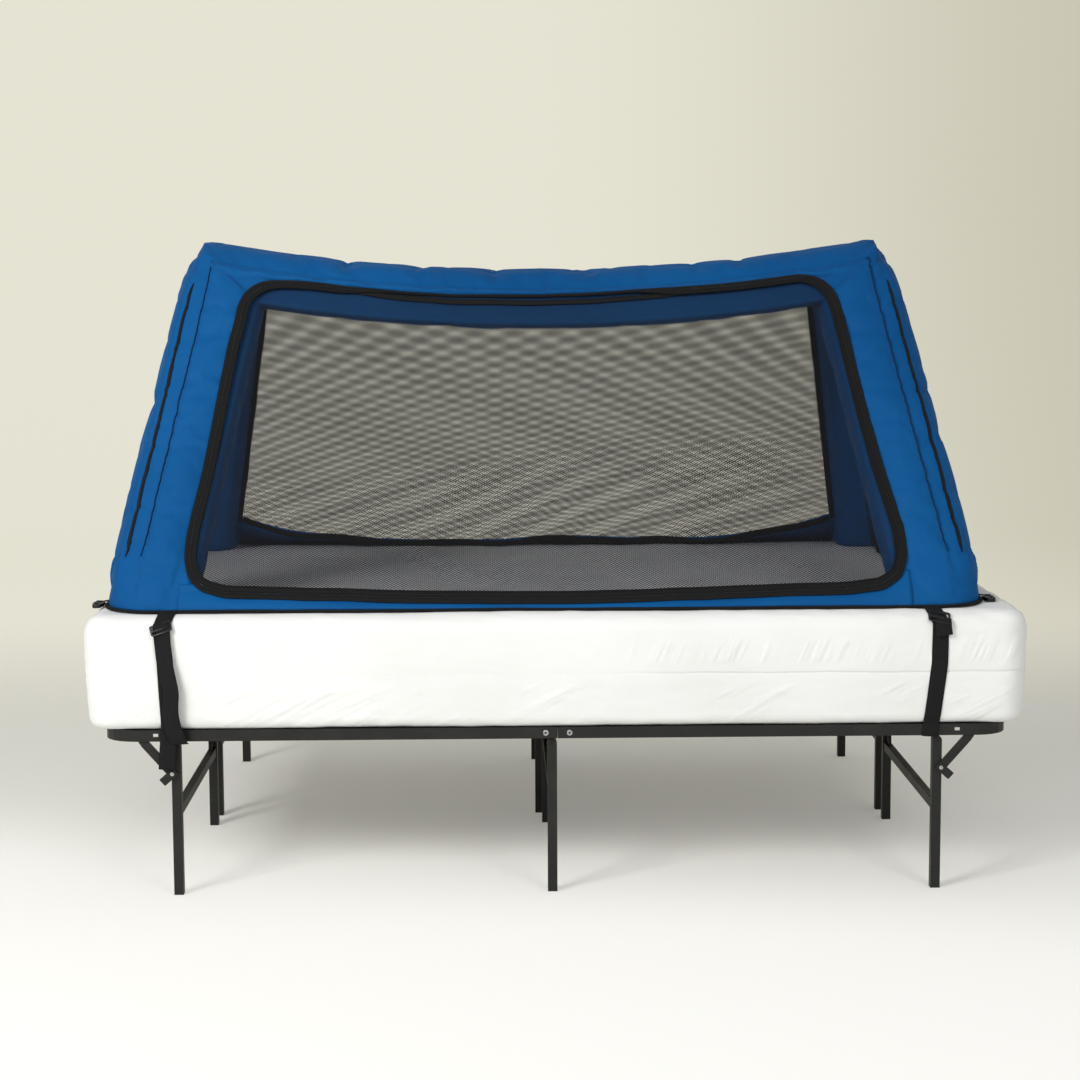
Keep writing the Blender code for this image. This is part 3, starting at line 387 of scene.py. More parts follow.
def coverFolds(cover, x, y, z):
    # the cover's fine folds: a pressed crease half way up, puckers over it and slanting drags under it
    slow = cover.cloud(cover.place(), 5.0, 2.0)
    level = z + (slow - 0.5) * 0.012 - coverFold["seamZ"]
    right = x.between(0.05, 0.35) * 0.92 + 0.08
    crease = 1 - level.size().between(0.0, 0.0045)

    def folds(across, up, depth, low, high):
        stretched = cover.add("ShaderNodeCombineXYZ", {}, {"X": across, "Y": up, "Z": depth})
        return cover.cloud(stretched, 1.0, 2.0, 0.55).between(low, high)

    puckers = folds((x - z * 0.42) * (1 / coverFold["puckerPitch"]), y * 2.0, z * 4.0, 0.42, 0.72)
    upper = level.between(0.012, 0.035) * (1 - level.between(0.055, 0.085)) * right
    drags = folds((z - x * 0.52) * (1 / coverFold["dragPitch"]), y * 1.5, x * 3.0, 0.45, 0.75)
    lower = (1 - level.between(-0.035, -0.010)) * slow.between(0.42, 0.58)
    return (puckers * upper * coverFold["puckerDepth"] + drags * lower * coverFold["dragDepth"]
            - crease * right * coverFold["seamDepth"])


def makeNetThread():
    net = Finish("netThread", cloth["netBlack"], 0.62, Specular_IOR_Level=0.06)
    speck = net.cloud(net.place(), 900, 2.0)
    net.feed("Base Color", net.blend(speck.between(0.45, 0.75), cloth["netBlack"], (0.030, 0.030, 0.031)))
    net.feed("Roughness", 0.55 + speck * 0.2)
    return net


def makeWebbing(name, pitch, colour, light, rough):
    web = Finish(name, colour, rough, Specular_IOR_Level=0.14)
    u, v = web.axes(web.place("UV"), 2)
    rib = ((v * (2 * math.pi / pitch)) + (u * (1.2 * math.pi / pitch)).sine() * 0.9).sine()
    column = (u * (2 * math.pi / (pitch * 1.7))).sine()
    fuzz = web.cloud(web.place(), 420, 3.0, 0.6)
    web.feed("Base Color", web.blend(rib.between(-0.2, 1.0) * 0.6 + fuzz.between(0.5, 0.8) * 0.4, colour, light))
    web.feed("Roughness", rough - 0.08 + fuzz * 0.16)
    web.emboss(rib * 0.6 + column * 0.3 + fuzz * 0.3, 0.0005, 0.7)
    return web


def makeMoulded():
    moulded = Finish("blackMoulding", (0.010, 0.010, 0.0105), 0.38, Specular_IOR_Level=0.35)
    grain = moulded.cloud(moulded.place(), 1400, 2.0)
    broad = moulded.cloud(moulded.place(), 60, 3.0)
    moulded.feed("Base Color", moulded.blend(broad.between(0.4, 0.8), (0.009, 0.009, 0.0095), (0.018, 0.018, 0.019)))
    moulded.feed("Roughness", 0.32 + broad * 0.18)
    moulded.emboss(grain, 0.0002, 0.35)
    return moulded


def makePowderCoat():
    coat = Finish("charcoalPowderCoat", (0.0145, 0.0142, 0.0125), 0.46, Specular_IOR_Level=0.26)
    where = coat.place()
    peel = coat.cloud(where, 950, 2.0, 0.5)
    broad = coat.cloud(where, 14, 4.0, 0.6)
    scuff = coat.cloud(where, 130, 5.0, 0.7)
    dust = broad.between(0.45, 0.75) * 0.35 + scuff.between(0.66, 0.74) * 0.5
    coat.feed("Base Color", coat.blend(dust, (0.0145, 0.0142, 0.0125), (0.030, 0.029, 0.026)))
    coat.feed("Roughness", 0.36 + broad * 0.22)
    coat.emboss(peel, 0.00035, 0.35)
    return coat


def makeZinc():
    steel = Finish("rivetZinc", (0.50, 0.50, 0.48), 0.36, Metallic=0.9)
    broad = steel.cloud(steel.place(), 260, 4.0, 0.6)
    steel.feed("Base Color", steel.blend(broad.between(0.35, 0.7), (0.34, 0.34, 0.33), (0.62, 0.62, 0.60)))
    steel.feed("Roughness", 0.28 + broad * 0.25)
    steel.emboss(broad, 0.0002, 0.4)
    return steel


def makePlainCloth(name, light, dark, rough, grain, depth):
    plain = Finish(name, light, rough, Specular_IOR_Level=0.25)
    where = plain.place()
    broad = plain.cloud(where, 4, 3.0)
    fine = plain.cloud(where, grain, 3.0, 0.6)
    plain.feed("Base Color", plain.blend(broad.between(0.3, 0.75) * 0.6 + fine * 0.4, dark, light))
    plain.feed("Roughness", rough - 0.06 + fine * 0.12)
    plain.emboss(fine, depth, 0.5)
    return plain


def makeThread(name, colour, rough, low, scale, span, **more):
    made = Finish(name, colour, rough, **more)
    made.feed("Roughness", low + made.cloud(made.place(), scale, 2.0) * span)
    return made


nylon = makeNylon()
coverCloth = makeCoverCloth()
netThread = makeNetThread()
strapWeb = makeWebbing("strapWebbing", 0.0022, cloth["webBlack"], (0.022, 0.022, 0.0225), 0.74)
bindingWeb = makeWebbing("edgeBinding", 0.0016, (0.0065, 0.0065, 0.0070), (0.017, 0.017, 0.018), 0.78)
zipCoil = makeThread("zipCoil", (0.010, 0.010, 0.0105), 0.3, 0.24, 500, 0.2, Specular_IOR_Level=0.3)
moulding = makeMoulded()
powderCoat = makePowderCoat()
rivetZinc = makeZinc()
floorCloth = makePlainCloth("tentFloorCloth", (0.74, 0.75, 0.75), (0.62, 0.63, 0.64), 0.7, 180, 0.0006)
foam = makePlainCloth("mattressFoam", (0.84, 0.81, 0.74), (0.72, 0.69, 0.62), 0.9, 700, 0.0012)
airFilm = makePlainCloth("airBeamFilm", (0.58, 0.60, 0.62), (0.46, 0.48, 0.50), 0.42, 90, 0.0004)
thread = makeThread("stitchThread", (0.012, 0.075, 0.24), 0.6, 0.5, 900, 0.25)
# navy piping whose dark colour also paints the shade of the crease along each column seam
pipingCreaseShade = makeThread("navyCreaseShadePiping", (0.0040, 0.019, 0.060), 0.6, 0.5, 700, 0.25, Specular_IOR_Level=0.1)
print("finishes ready")


# The inflated enclosure: two arches of fabric tube, one at the door and one at the back

tent = {"middleX": -0.022, "length": 1.870, "frontY": -0.655, "depth": 1.222, "base": 0.6009, "cornerHeight": 0.772,
        "topSag": 0.072, "underSag": 0.049, "sideLean": 0.193, "faceLean": 0.58, "frontColumn": 0.185,
        "backColumn": 0.160, "tubeDepth": 0.160, "beamHeight": 0.138, "radii": (0.30, 0.12, 0.34, 0.34)}
tentTop = tent["base"] + tent["cornerHeight"]
tentUnder = tentTop - tent["beamHeight"]
slope = math.sqrt(1 + tent["faceLean"] ** 2)
facing = {-1: np.array((0, -1, tent["faceLean"])) / slope, 1: np.array((0, 1, tent["faceLean"])) / slope}


def outerX(z):
    return tent["length"] / 2 - tent["sideLean"] * (z - tent["base"])


def faceY(unit, z):
    foot = tent["frontY"] if unit < 0 else tent["frontY"] + tent["depth"]
    return foot - unit * tent["faceLean"] * (z - tent["base"])


def tubeLine(unit, part, way, along):
    # the tube's outer and inner lines at one place, each as (x, z)
    width = tent["frontColumn"] if unit < 0 else tent["backColumn"]
    if part == "column":
        outerZ = tent["base"] + tent["cornerHeight"] * along
        innerZ = tent["base"] + (tentUnder - tent["base"]) * along
        return (way * outerX(outerZ), outerZ), (way * (outerX(innerZ) - width), innerZ)
    drop = 1 - along ** 2
    return ((along * outerX(tentTop), tentTop - tent["topSag"] * drop),
            (along * (outerX(tentUnder) - width), tentUnder - tent["underSag"] * drop))


# The plan of the door, and how the fabric tubes are drawn, puffed and gathered

door = {"halfWidth": 0.766, "top": 0.652, "sag": 0.036, "level": 0.147}
skin = {"columnRings": 92, "beamRings": 150, "bulge": 0.0075, "sideBulge": 0.006, "innerBulge": 0.003,
        "growth": -0.016, "pressure": 3.2, "cap": 0.0085, "frames": 18, "footTuck": 0.010, "footHeight": 0.055,
        "footCorner": 0.118, "leastCorner": 0.050, "cornerHeight": 0.110, "earOut": -0.026, "earUp": -0.003,
        "earWidth": 0.062, "seamDip": -0.0012, "bandMargin": 0.015}


def tubeSection():
    # (a, b, kind, share) round the tube: a from the outer edge in, b from the face to the inside
    r0, r1, r2, r3 = tent["radii"]
    made = []
    # straight parts have two ends, arcs have a middle with a radius and their first angle
    for kind, count, start, end in (("front", 24, (r0, 0), (1 - r1, 0)), ("innerFront", 5, (1 - r1, r1, r1), -90),
                                    ("inner", 12, (1, r1), (1, 1 - r2)), ("innerBack", 8, (1 - r2, 1 - r2, r2), 0),
                                    ("back", 12, (1 - r2, 1), (r3, 1)), ("outerBack", 8, (r3, 1 - r3, r3), 90),
                                    ("outer", 14, (0, 1 - r3), (0, r0)), ("outerFront", 9, (r0, r0, r0), 180)):
        for k in range(count):
            t = k / count
            if len(start) == 2:
                a, b = start[0] + (end[0] - start[0]) * t, start[1] + (end[1] - start[1]) * t
            else:
                angle = math.radians(end + 90 * k / count)
                a, b = start[0] + start[2] * math.cos(angle), start[1] + start[2] * math.sin(angle)
            made.append((a, b, kind, t))
    return made


section = tubeSection()


def archRings():
    # (part, way, along) for each ring from the left foot over to the right foot
    up = [k / skin["columnRings"] for k in range(skin["columnRings"] + 1)]
    beam = [("beam", 1, -1 + 2 * k / skin["beamRings"]) for k in range(1, skin["beamRings"])]
    return [("column", -1, t) for t in up] + beam + [("column", 1, 1 - t) for t in up]


def tubePoint(unit, line, a, b):
    (x0, z0), (x1, z1) = line
    z = z0 + (z1 - z0) * a
    return (tent["middleX"] + (x0 + (x1 - x0) * a), faceY(unit, z) - unit * tent["tubeDepth"] * b, z)


def ringPoints(unit, part, way, along):
    line = tubeLine(unit, part, way, along)
    return np.array([tubePoint(unit, line, a, b) for a, b, kind, share in section])


def bandShare(unit, part, way, along):
    # how far in from the outer edge the door's band or the back seam starts, as a share of the tube's width
    (x0, z0), (x1, z1) = tubeLine(unit, part, way, along)
    if part == "column":
        if unit > 0:
            return 0.80
        edge = door["halfWidth"] - tent["sideLean"] * (z0 - tent["base"] - door["level"])
        return (abs(x0) - edge) / abs(x0 - x1)
    if unit > 0:
        return 0.72
    bandZ = tent["base"] + door["top"] + door["sag"] * min(abs(x0 / door["halfWidth"]) * 1.12, 1) ** 2
    return (z0 - bandZ) / (z0 - z1)


def standOff(part, band, a, kind, t):
    # how far the fabric stands off the plain tube, and how firmly it is held there
    seam = tent["radii"][0]
    if kind == "front":
        if t == 0:
            return skin["seamDip"], 0.9
        if a >= band - skin["bandMargin"]:
            return (skin["seamDip"] if a < 0.97 else 0.0), 1
        s = min(max((a - seam) / max(band - skin["bandMargin"] - seam, 0.02), 0), 1)
        return skin["bulge"] * max(math.sin(math.pi * s), 0) ** 0.7, 0
    if kind == "outer":
        return skin["sideBulge"] * math.sin(math.pi * t) ** 0.7, 0
    if kind == "back" and part == "beam":
        return skin["innerBulge"] * math.sin(math.pi * t) * 0.2, 0.6
    if kind in ("inner", "back"):
        return skin["innerBulge"] * math.sin(math.pi * t), 0
    if kind in ("outerBack", "innerBack") and t == 0.5:
        return -0.0022, 0.85
    return 0.0, 1 if kind == "innerFront" else 0


def archBase(unit):
    rings = archRings()
    points = np.array([ringPoints(unit, *ring) for ring in rings])
    out = gridNormals(points)
    out *= np.sign(np.sum(out * (points - points.mean(axis=1, keepdims=True)), axis=2, keepdims=True))
    pins = np.zeros(points.shape[:2])
    seed = 3.1 if unit < 0 else 8.7
    for i, (part, way, along) in enumerate(rings):
        band = bandShare(unit, part, way, along)
        endFade = 1 if part == "beam" else min(along / 0.12, 1)
        for j, (a, b, kind, t) in enumerate(section):
            lift, pins[i, j] = standOff(part, band, a, kind, t)
            if pins[i, j] < 1:
                lift += 0.0016 * wave(*points[i, j], 9, seed)
            points[i, j] += out[i, j] * lift * endFade
    return rings, points, out, pins


def drawInFoot(ring, way, height):
    # the foot drawn in where the tube ends on the floor sheet
    t = 1 - height / skin["footHeight"]
    inward = skin["footTuck"] * (1 - math.sqrt(max(1 - t * t, 0)))
    offsets = ring.mean(axis=0) - ring
    for j, (a, b, kind, share) in enumerate(section):
        weight = 1.0 if kind in ("outer", "outerFront", "outerBack") else 0.32
        if kind in ("front", "back"):
            weight = 0.32 + 0.68 * ease(1 - a, 0.6, 1.0)
        fold = 1 + 0.35 * math.sin(j * 0.9 + way) * t
        ring[j, :2] += offsets[j, :2] / np.linalg.norm(offsets[j, :2]) * inward * weight * fold


def roundFoot(unit, ring, way, height):
    # the corner of the fabric on the plan, wider near the floor sheet
    least = skin["leastCorner"]
    radius = least + (skin["footCorner"] - least) * (1 - height / skin["cornerHeight"]) ** 1.5
    for point in ring:
        x, y, z = point
        overX, overY = radius - (outerX(z) - abs(x - tent["middleX"])), radius - abs(faceY(unit, z) - y)
        reach = math.hypot(overX, overY)
        if overX > 0 and overY > 0 and reach > radius:
            point[0] = tent["middleX"] + way * (outerX(z) - radius + overX * radius / reach)
            point[1] = faceY(unit, z) - unit * (radius - overY * radius / reach)


def gatherEar(ring, side, gap):
    # fabric bunched into an ear at each top corner
    near = math.exp(-(gap / skin["earWidth"]) ** 2)
    if near <= 0.01:
        return
    for j, (a, b, kind, share) in enumerate(section):
        if kind in ("outerFront", "outer", "outerBack"):
            weight = {"outerFront": 0.35 + 0.65 * (1 - share), "outer": 1.0, "outerBack": share}[kind]
            ripple = 1 + 0.11 * math.cos(gap * 150 + 1.5 * side + j * 0.35) * (1 - near ** 4)
            ring[j] += np.array((side * skin["earOut"], 0, skin["earUp"])) * near * weight * ripple
        elif kind == "front":
            ring[j, 1] += math.sin(gap * 260 + a * 9 + side) * 0.0016 * near * (1 - share)


def shapeEnds(unit, rings, points):
    made = points.copy()
    for ring, (part, way, along) in zip(made, rings):
        if part == "beam":
            gatherEar(ring, math.copysign(1, along), (1 - abs(along)) * 0.78)
            continue
        height = tent["cornerHeight"] * along
        if height < skin["footHeight"]:
            drawInFoot(ring, way, height)
        if height < skin["cornerHeight"]:
            roundFoot(unit, ring, way, height)
        gatherEar(ring, way, (1 - along) * 0.9)
    return made


def inflate(name, points, pins):
    # a short cloth run under air pressure, with the sewn lines held, puckers the cloth beside them
    rows, columns = points.shape[:2]
    mesh = gridMesh(name, points, lambda i, j: (j, i), loopAcross=True, capped=True)
    item = link(mesh, name)
    held = item.vertex_groups.new(name="sewn")
    pins[:2] = pins[-2:] = 1
    for place, weight in enumerate(pins.ravel()):
        if weight > 0:
            held.add([place], float(weight), "REPLACE")
    puff = item.modifiers.new("air", "CLOTH")
    for key, value in {"quality": 6, "mass": 0.2, "tension_stiffness": 22, "compression_stiffness": 22,
                       "shear_stiffness": 9, "bending_stiffness": 0.25, "use_pressure": True,
                       "uniform_pressure_force": skin["pressure"], "shrink_min": skin["growth"],
                       "vertex_group_mass": "sewn"}.items():
        setattr(puff.settings, key, value)
    puff.settings.effector_weights.gravity = 0
    puff.collision_settings.use_collision = False
    puff.collision_settings.use_self_collision = False
    puff.point_cache.frame_end = skin["frames"]
    for number in range(1, skin["frames"] + 1):
        bpy.context.scene.frame_set(number)
    seen = item.evaluated_get(bpy.context.evaluated_depsgraph_get())
    flat = np.zeros(len(seen.data.vertices) * 3)
    seen.data.vertices.foreach_get("co", flat)
    bpy.data.objects.remove(item, do_unlink=True)
    bpy.data.meshes.remove(mesh)
    bpy.context.scene.frame_set(1)
    moved = flat.reshape(rows, columns, 3) - points
    length = np.linalg.norm(moved, axis=2, keepdims=True)
    capped = skin["cap"] * np.tanh(length / skin["cap"])
    return points + moved * capped / np.maximum(length, 1e-9)


def gridNormals(points, loopAcross=True):
    run = np.gradient(points, axis=0)
    if loopAcross:
        around = np.roll(points, -1, axis=1) - np.roll(points, 1, axis=1)
    else:
        around = np.gradient(points, axis=1)
    return unitVector(np.cross(around, run))


class Skin:
    # a finished fabric surface that zips, seams and stitches are laid on
    def __init__(self, points, normals):
        self.points = points
        self.normals = normals

    def at(self, i, j):
        rows, columns = self.points.shape[:2]
        i = min(max(i, 0), rows - 1.001)
        low, left = int(i), int(math.floor(j))
        s, t = i - low, j - left
        found = []
        for field in (self.points, self.normals):
            near = field[low, left % columns] * (1 - t) + field[low, (left + 1) % columns] * t
            far = field[low + 1, left % columns] * (1 - t) + field[low + 1, (left + 1) % columns] * t
            found.append(near * (1 - s) + far * s)
        return found[0], unitVector(found[1])


def makeArch(unit):
    word = "front" if unit < 0 else "back"
    name = word + "ArchFabric"
    rings, points, out, pins = archBase(unit)
    points = shapeEnds(unit, rings, points)
    points = inflate(name, points, pins)
    normals = gridNormals(points)
    if np.sum(normals * out) < 0:
        normals = -normals
    lengths, girth = lengthsAlong(points[:, 0]), list(lengthsAlong(points[40]))
    girth.append(girth[-1] * len(section) / (len(section) - 1))
    facesOut = np.sum(np.cross(points[41, 0] - points[40, 0], points[40, 1] - points[40, 0]) * out[40, 0]) < 0
    ordered = points if facesOut else points[:, ::-1]
    mesh = gridMesh(name, ordered, lambda i, j: (girth[j], lengths[i]), loopAcross=True, capped=True)
    item = placed(link(mesh, name, nylon), "sleeve_fabric")
    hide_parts(f"{word}_left_column_sleeve", f"{word}_right_column_sleeve", f"{word}_top_beam_sleeve")
    return Skin(points, normals)


arches = {unit: makeArch(unit) for unit in (-1, 1)}
print("arches ready")


# Air beams inside the sleeves, a little slack of them, with welded ends

bladder = {"shrink": 0.013, "around": 40, "rings": 26}


def roundedTube(unit, part, way, along, shrink):
    line = tubeLine(unit, part, way, along)
    span = math.hypot(line[1][0] - line[0][0], line[1][1] - line[0][1])
    ring = []
    for k in range(bladder["around"]):
        turn = 2 * math.pi * k / bladder["around"]
        a, b = (0.5 + 0.5 * math.copysign(abs(value) ** 0.62, value) * (1 - 2 * shrink / size)
                for value, size in ((math.cos(turn), span), (math.sin(turn), tent["tubeDepth"])))
        ring.append(tubePoint(unit, line, a, b))
    return ring


def makeBladder(unit, part, way, name):
    rows = []
    for k in range(bladder["rings"] + 1):
        t = k / bladder["rings"]
        along = 0.03 + 0.91 * t if part == "column" else -0.95 + 1.9 * t
        draw = max(1 - t / 0.07, (t - 0.93) / 0.07, 0)
        shrink = bladder["shrink"] + 0.052 * (1 - math.sqrt(max(1 - draw * draw, 0)))
        rows.append(roundedTube(unit, part, way, along, shrink))
    points = np.array(rows)
    if np.sum(gridNormals(points) * (points - points.mean(axis=1, keepdims=True))) > 0:
        points = points[:, ::-1]
    mesh = gridMesh(name + "Bladder", points, lambda i, j: (j * 0.015, i * 0.03), loopAcross=True, capped=True)
    item = placed(link(mesh, name + "Bladder", airFilm), "air_beam_film")
    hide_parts(name)


for unit, word in ((-1, "front"), (1, "back")):
    for way, side in ((-1, "left"), (1, "right")):
        makeBladder(unit, "column", way, f"{word}_{side}_column_air_beam")
    makeBladder(unit, "beam", 1, f"{word}_top_air_beam")


# Roof cloth laid over the cleft between the two top beams

roof = {"reach": 0.97, "rings": 120, "across": 22, "thickness": 0.0016, "dip": 0.010, "clothStep": 0.09 / 22,
        "ringStep": 0.0127}


def makeRoof():
    front, back = arches[-1], arches[1]
    kinds = [place[2] for place in section]
    cleft, ledge = kinds.index("back") + 7, kinds.index("outerBack") + 4.2
    rows = []
    for k in range(roof["rings"] + 1):
        along = -roof["reach"] + 2 * roof["reach"] * k / roof["rings"]
        ring = skin["columnRings"] + (along + 1) / 2 * skin["beamRings"]
        first, last = front.at(ring, ledge)[0], back.at(ring, ledge)[0]
        low = (front.at(ring, cleft)[0] + back.at(ring, cleft)[0]) / 2
        row = []
        for m in range(roof["across"] + 1):
            t = m / roof["across"]
            place = first * (1 - t) + last * t
            middle = ease(1 - abs(t * 2 - 1), 0.0, 1.0)
            place[2] += 0.0022 - roof["dip"] * middle
            place[2] += 0.0016 * wave(place[0], place[1] * 3, 0, 26, 4.2) * middle
            place[2] = max(place[2], low[2] + 0.004)
            row.append(place)
        rows.append(row)
    points = np.array(rows)
    normals = gridNormals(points, loopAcross=False)
    if normals[:, :, 2].mean() < 0:
        normals = -normals
    top = points + normals * roof["thickness"]
    shell = np.concatenate([top, points[:, ::-1]], axis=1)
    if np.cross(top[1, 0] - top[0, 0], top[0, 1] - top[0, 0])[2] >= 0:
        shell = shell[:, ::-1]
    mesh = gridMesh("roofCloth", shell, lambda i, j: (j * roof["clothStep"], i * roof["ringStep"]), loopAcross=True, capped=True)
    item = placed(link(mesh, "roofCloth", nylon), "sleeve_fabric")
    length = float(stepLengths(points[:, roof["across"] // 2]).sum())
    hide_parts("roof_panel")


makeRoof()
print("air beams and roof ready")


# Mattress cover: one drawn-in knitted shell with a sewn edge, soft hollows and small wrinkles

mattress = {"length": 1.984, "width": 1.400, "bottom": 0.3563, "top": 0.5983, "edge": 0.040, "lowEdge": 0.025,
            "corner": 0.060, "draw": 0.006, "seamZ": coverFold["seamZ"], "hem": 0.060, "sideSteps": (118, 168)}


def coverOutline(inset, cornerExtra):
    # points round the plan, denser near the corners, from the front right corner on
    radius = max(mattress["corner"] + cornerExtra - inset, 0.004)
    points = roundedCorners(mattress["length"] / 2 - inset, mattress["width"] / 2 - inset, radius, 12)
    made = []
    for corner in range(4):
        arc = points[corner * 13:corner * 13 + 13]
        (startX, startY), (endX, endY) = arc[-1], points[(corner * 13 + 13) % len(points)]
        count = mattress["sideSteps"][corner % 2]
        made += arc[:-1] + [(startX + (endX - startX) * k / count, startY + (endY - startY) * k / count) for k in range(count)]
    return np.array(made)


def coverWrinkle(x, y, z):
    # broad hollows, slanting drag lines from the corners and finer creases, stronger to the front right
    broad = 0.0022 * wave(x, y, z, 3.2, 1.3)
    slant = x * 0.9 + z * 2.6
    patch = ease(wave(x, y, z, 2.1, 5.5), 0.02, 0.5)
    ridges = noise.ridged_multi_fractal(Vector((x * 2.2, slant * 3.0, y * 2.0 + z * 9)), 0.9, 2.1, 2, 0.9, 1.6)
    drag = 0.0024 * patch * ridges * 0.45
    right = ease(x, 0.25, 0.9) * ease(z, 0.46, 0.58)
    fine = (0.0011 + 0.0016 * right) * wave(x * 0.8 + z * 1.6, y, z * 3.2, 26, 2.4)
    return broad + drag + fine


def coverRingLevels():
    # (inset, height, kind) from the hem underneath to the middle of the top; kinds: -1 under, 0 side, 1 edge, 2 top
    base, low, edge = mattress["bottom"] + 0.0004, mattress["lowEdge"], mattress["edge"]
    rings = [(inset, base, -1) for inset in np.linspace(mattress["hem"], low + mattress["draw"], 5)]
    for k in range(1, 7):
        turn = math.radians(270 + 15 * k)
        rings.append((low * (1 - math.cos(turn)) + mattress["draw"], base + low * (1 + math.sin(turn)), 0))
    lowSide, highSide = mattress["bottom"] + low, mattress["top"] - edge
    for k in range(1, 24):
        t = k / 24
        belly = mattress["draw"] * (1 - t) ** 1.5 - 0.0016 * math.sin(math.pi * t)
        rings.append((belly, lowSide + (highSide - lowSide) * t, 0))
    for k in range(13):
        turn = math.radians(7.5 * k)
        rings.append((edge * (1 - math.cos(turn)), mattress["top"] - edge * (1 - math.sin(turn)), 1))
    return rings + [(edge + 0.66 * (k / 45) ** 1.15 * 0.985, mattress["top"], 2) for k in range(1, 46)]


def coverLift(kind, x, y, z):
    # how far the cover stands off its plain shape; it lies lower under the enclosure
    lift = coverWrinkle(x, y, z)
    if kind == 2:
        margin = 0.03
        under = (ease(tent["length"] / 2 + margin - abs(x - tent["middleX"]), 0, 0.07)
                 * ease(y - tent["frontY"] + margin, 0, 0.07) * ease(tent["frontY"] + tent["depth"] + margin - y, 0, 0.07))
        return lift * 0.5 * (1 - under) - 0.0012 * under - 0.0008
    if kind < 0:
        return lift * 0.25
    if kind == 0:
        gap = abs(z - mattress["seamZ"] - 0.0012 * wave(x, y, 0, 6, 9.1))
        lift -= 0.0014 * math.exp(-(gap / 0.0035) ** 2) * (0.25 + 0.75 * ease(x, 0.2, 0.45))
        lift += 0.0009 * math.exp(-(gap / 0.014) ** 2) * math.sin((x + y) * 250)
    return lift


def makeCover():
    rings = coverRingLevels()
    rows = []
    for inset, z, kind in rings:
        extra = max(inset - mattress["edge"], 0) if kind == 2 else 0
        rows.append([(x, y, z) for x, y in coverOutline(inset, extra * 0.25)])
    points = np.array(rows)
    normals = gridNormals(points)
    middle = points.reshape(-1, 3).mean(axis=0)
    if np.sum(normals[12] * (points[12] - middle)) < 0:
        normals = -normals
    for i, (inset, z, kind) in enumerate(rings):
        for j, point in enumerate(points[i]):
            points[i, j] += normals[i, j] * coverLift(kind, *point)
    lengths = np.concatenate([[0], np.cumsum(np.linalg.norm(np.diff(points, axis=0), axis=2).mean(axis=1))])
    mesh = gridMesh("mattressCoverCloth", points, lambda i, j: (j * 0.0098, lengths[i]), loopAcross=True)
    columns = points.shape[1]
    first = (len(rings) - 1) * columns
    turnedOut(mesh, lambda bm: bm.faces.new([bm.verts[first + j] for j in range(columns)]))
    item = placed(link(mesh, "mattressCoverCloth", coverCloth), "mattress_cover")
    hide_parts("mattress_cover")


makeCover()
print("mattress cover ready")


# Netting: two sets of crossing threads, laid on a panel's own surface and cut at its outline

netting = {"diamondWidth": 0.0082, "diamondHeight": 0.0047, "step": 0.020, "layerGap": 0.0003, "shortest": 0.003}


def crossings(inside, across, up, step):
    # the parts of a straight run of (s, t) places that are inside an outline, with their ends found closely
    length = math.hypot(across[1] - across[0], up[1] - up[0])

    def at(shares):
        return inside(across[0] + (across[1] - across[0]) * shares, up[0] + (up[1] - up[0]) * shares)

    def edge(low, high, lowInside):
        for turn in range(7):
            middle = (low + high) / 2
            if bool(at(np.array([middle]))[0]) == lowInside:
                low = middle
            else:
                high = middle
        return (low + high) / 2

    count = max(int(length / step), 2)
    shares = np.linspace(0, 1, count + 1)
    flags = at(shares)
    runs, start = [], None
    for k in range(count + 1):
        if flags[k] and start is None:
            start = shares[k] if k == 0 else edge(shares[k - 1], shares[k], False)
        if start is not None and (not flags[k] or k == count):
            end = shares[k] if flags[k] else edge(shares[k - 1], shares[k], True)
            if (end - start) * length > netting["shortest"]:
                runs.append((start, end))
            start = None
    return runs, length


def makeNet(name, place, inside, halfAcross, upRange, body, threadWidth, node, step=netting["step"]):
    # threads laid both ways over place(s, t), each a narrow strip facing out
    tilt = netting["diamondHeight"] / netting["diamondWidth"]
    half, tiny = threadWidth / 2, 0.002
    verts, faces, total = [], [], 0
    count = int((upRange[1] - upRange[0] + 2 * tilt * halfAcross) / netting["diamondHeight"])
    for layer, direction in ((0, 1), (1, -1)):
        for line in range(count + 1):
            offset = upRange[0] - tilt * halfAcross + line * netting["diamondHeight"]
            ends = sorted((limit - offset) / tilt * direction for limit in upRange)
            left, right = max(-halfAcross, ends[0]), min(halfAcross, ends[1])
            if right - left < 0.004:
                continue
            up = (offset + direction * tilt * left, offset + direction * tilt * right)
            runs, length = crossings(inside, (left, right), up, 0.02)
            for start, end in runs:
                pieces = max(int(math.ceil((end - start) * length / step)), 1)
                shares = np.linspace(start, end, pieces + 1)
                s = left + (right - left) * shares
                t = up[0] + (up[1] - up[0]) * shares
                centre = place(s, t)
                normal = unitVector(np.cross(place(s + tiny, t) - centre, place(s, t + tiny) - centre))
                side = unitVector(np.cross(normal, runAlong(centre)))
                centre = centre + normal * (layer * netting["layerGap"])
                verts.append(np.stack([centre - side * half, centre + side * half], axis=1).reshape(-1, 3))
                faces += [(total + 2 * k, total + 2 * k + 1, total + 2 * k + 3, total + 2 * k + 2) for k in range(pieces)]
                total += 2 * (pieces + 1)
    mesh = bpy.data.meshes.new(name)
    mesh.from_pydata([tuple(p) for p in np.concatenate(verts)], [], faces)
    mesh.update()
    item = placed(link(mesh, name, netThread, smooth=False), "black_mesh", node, body=body)


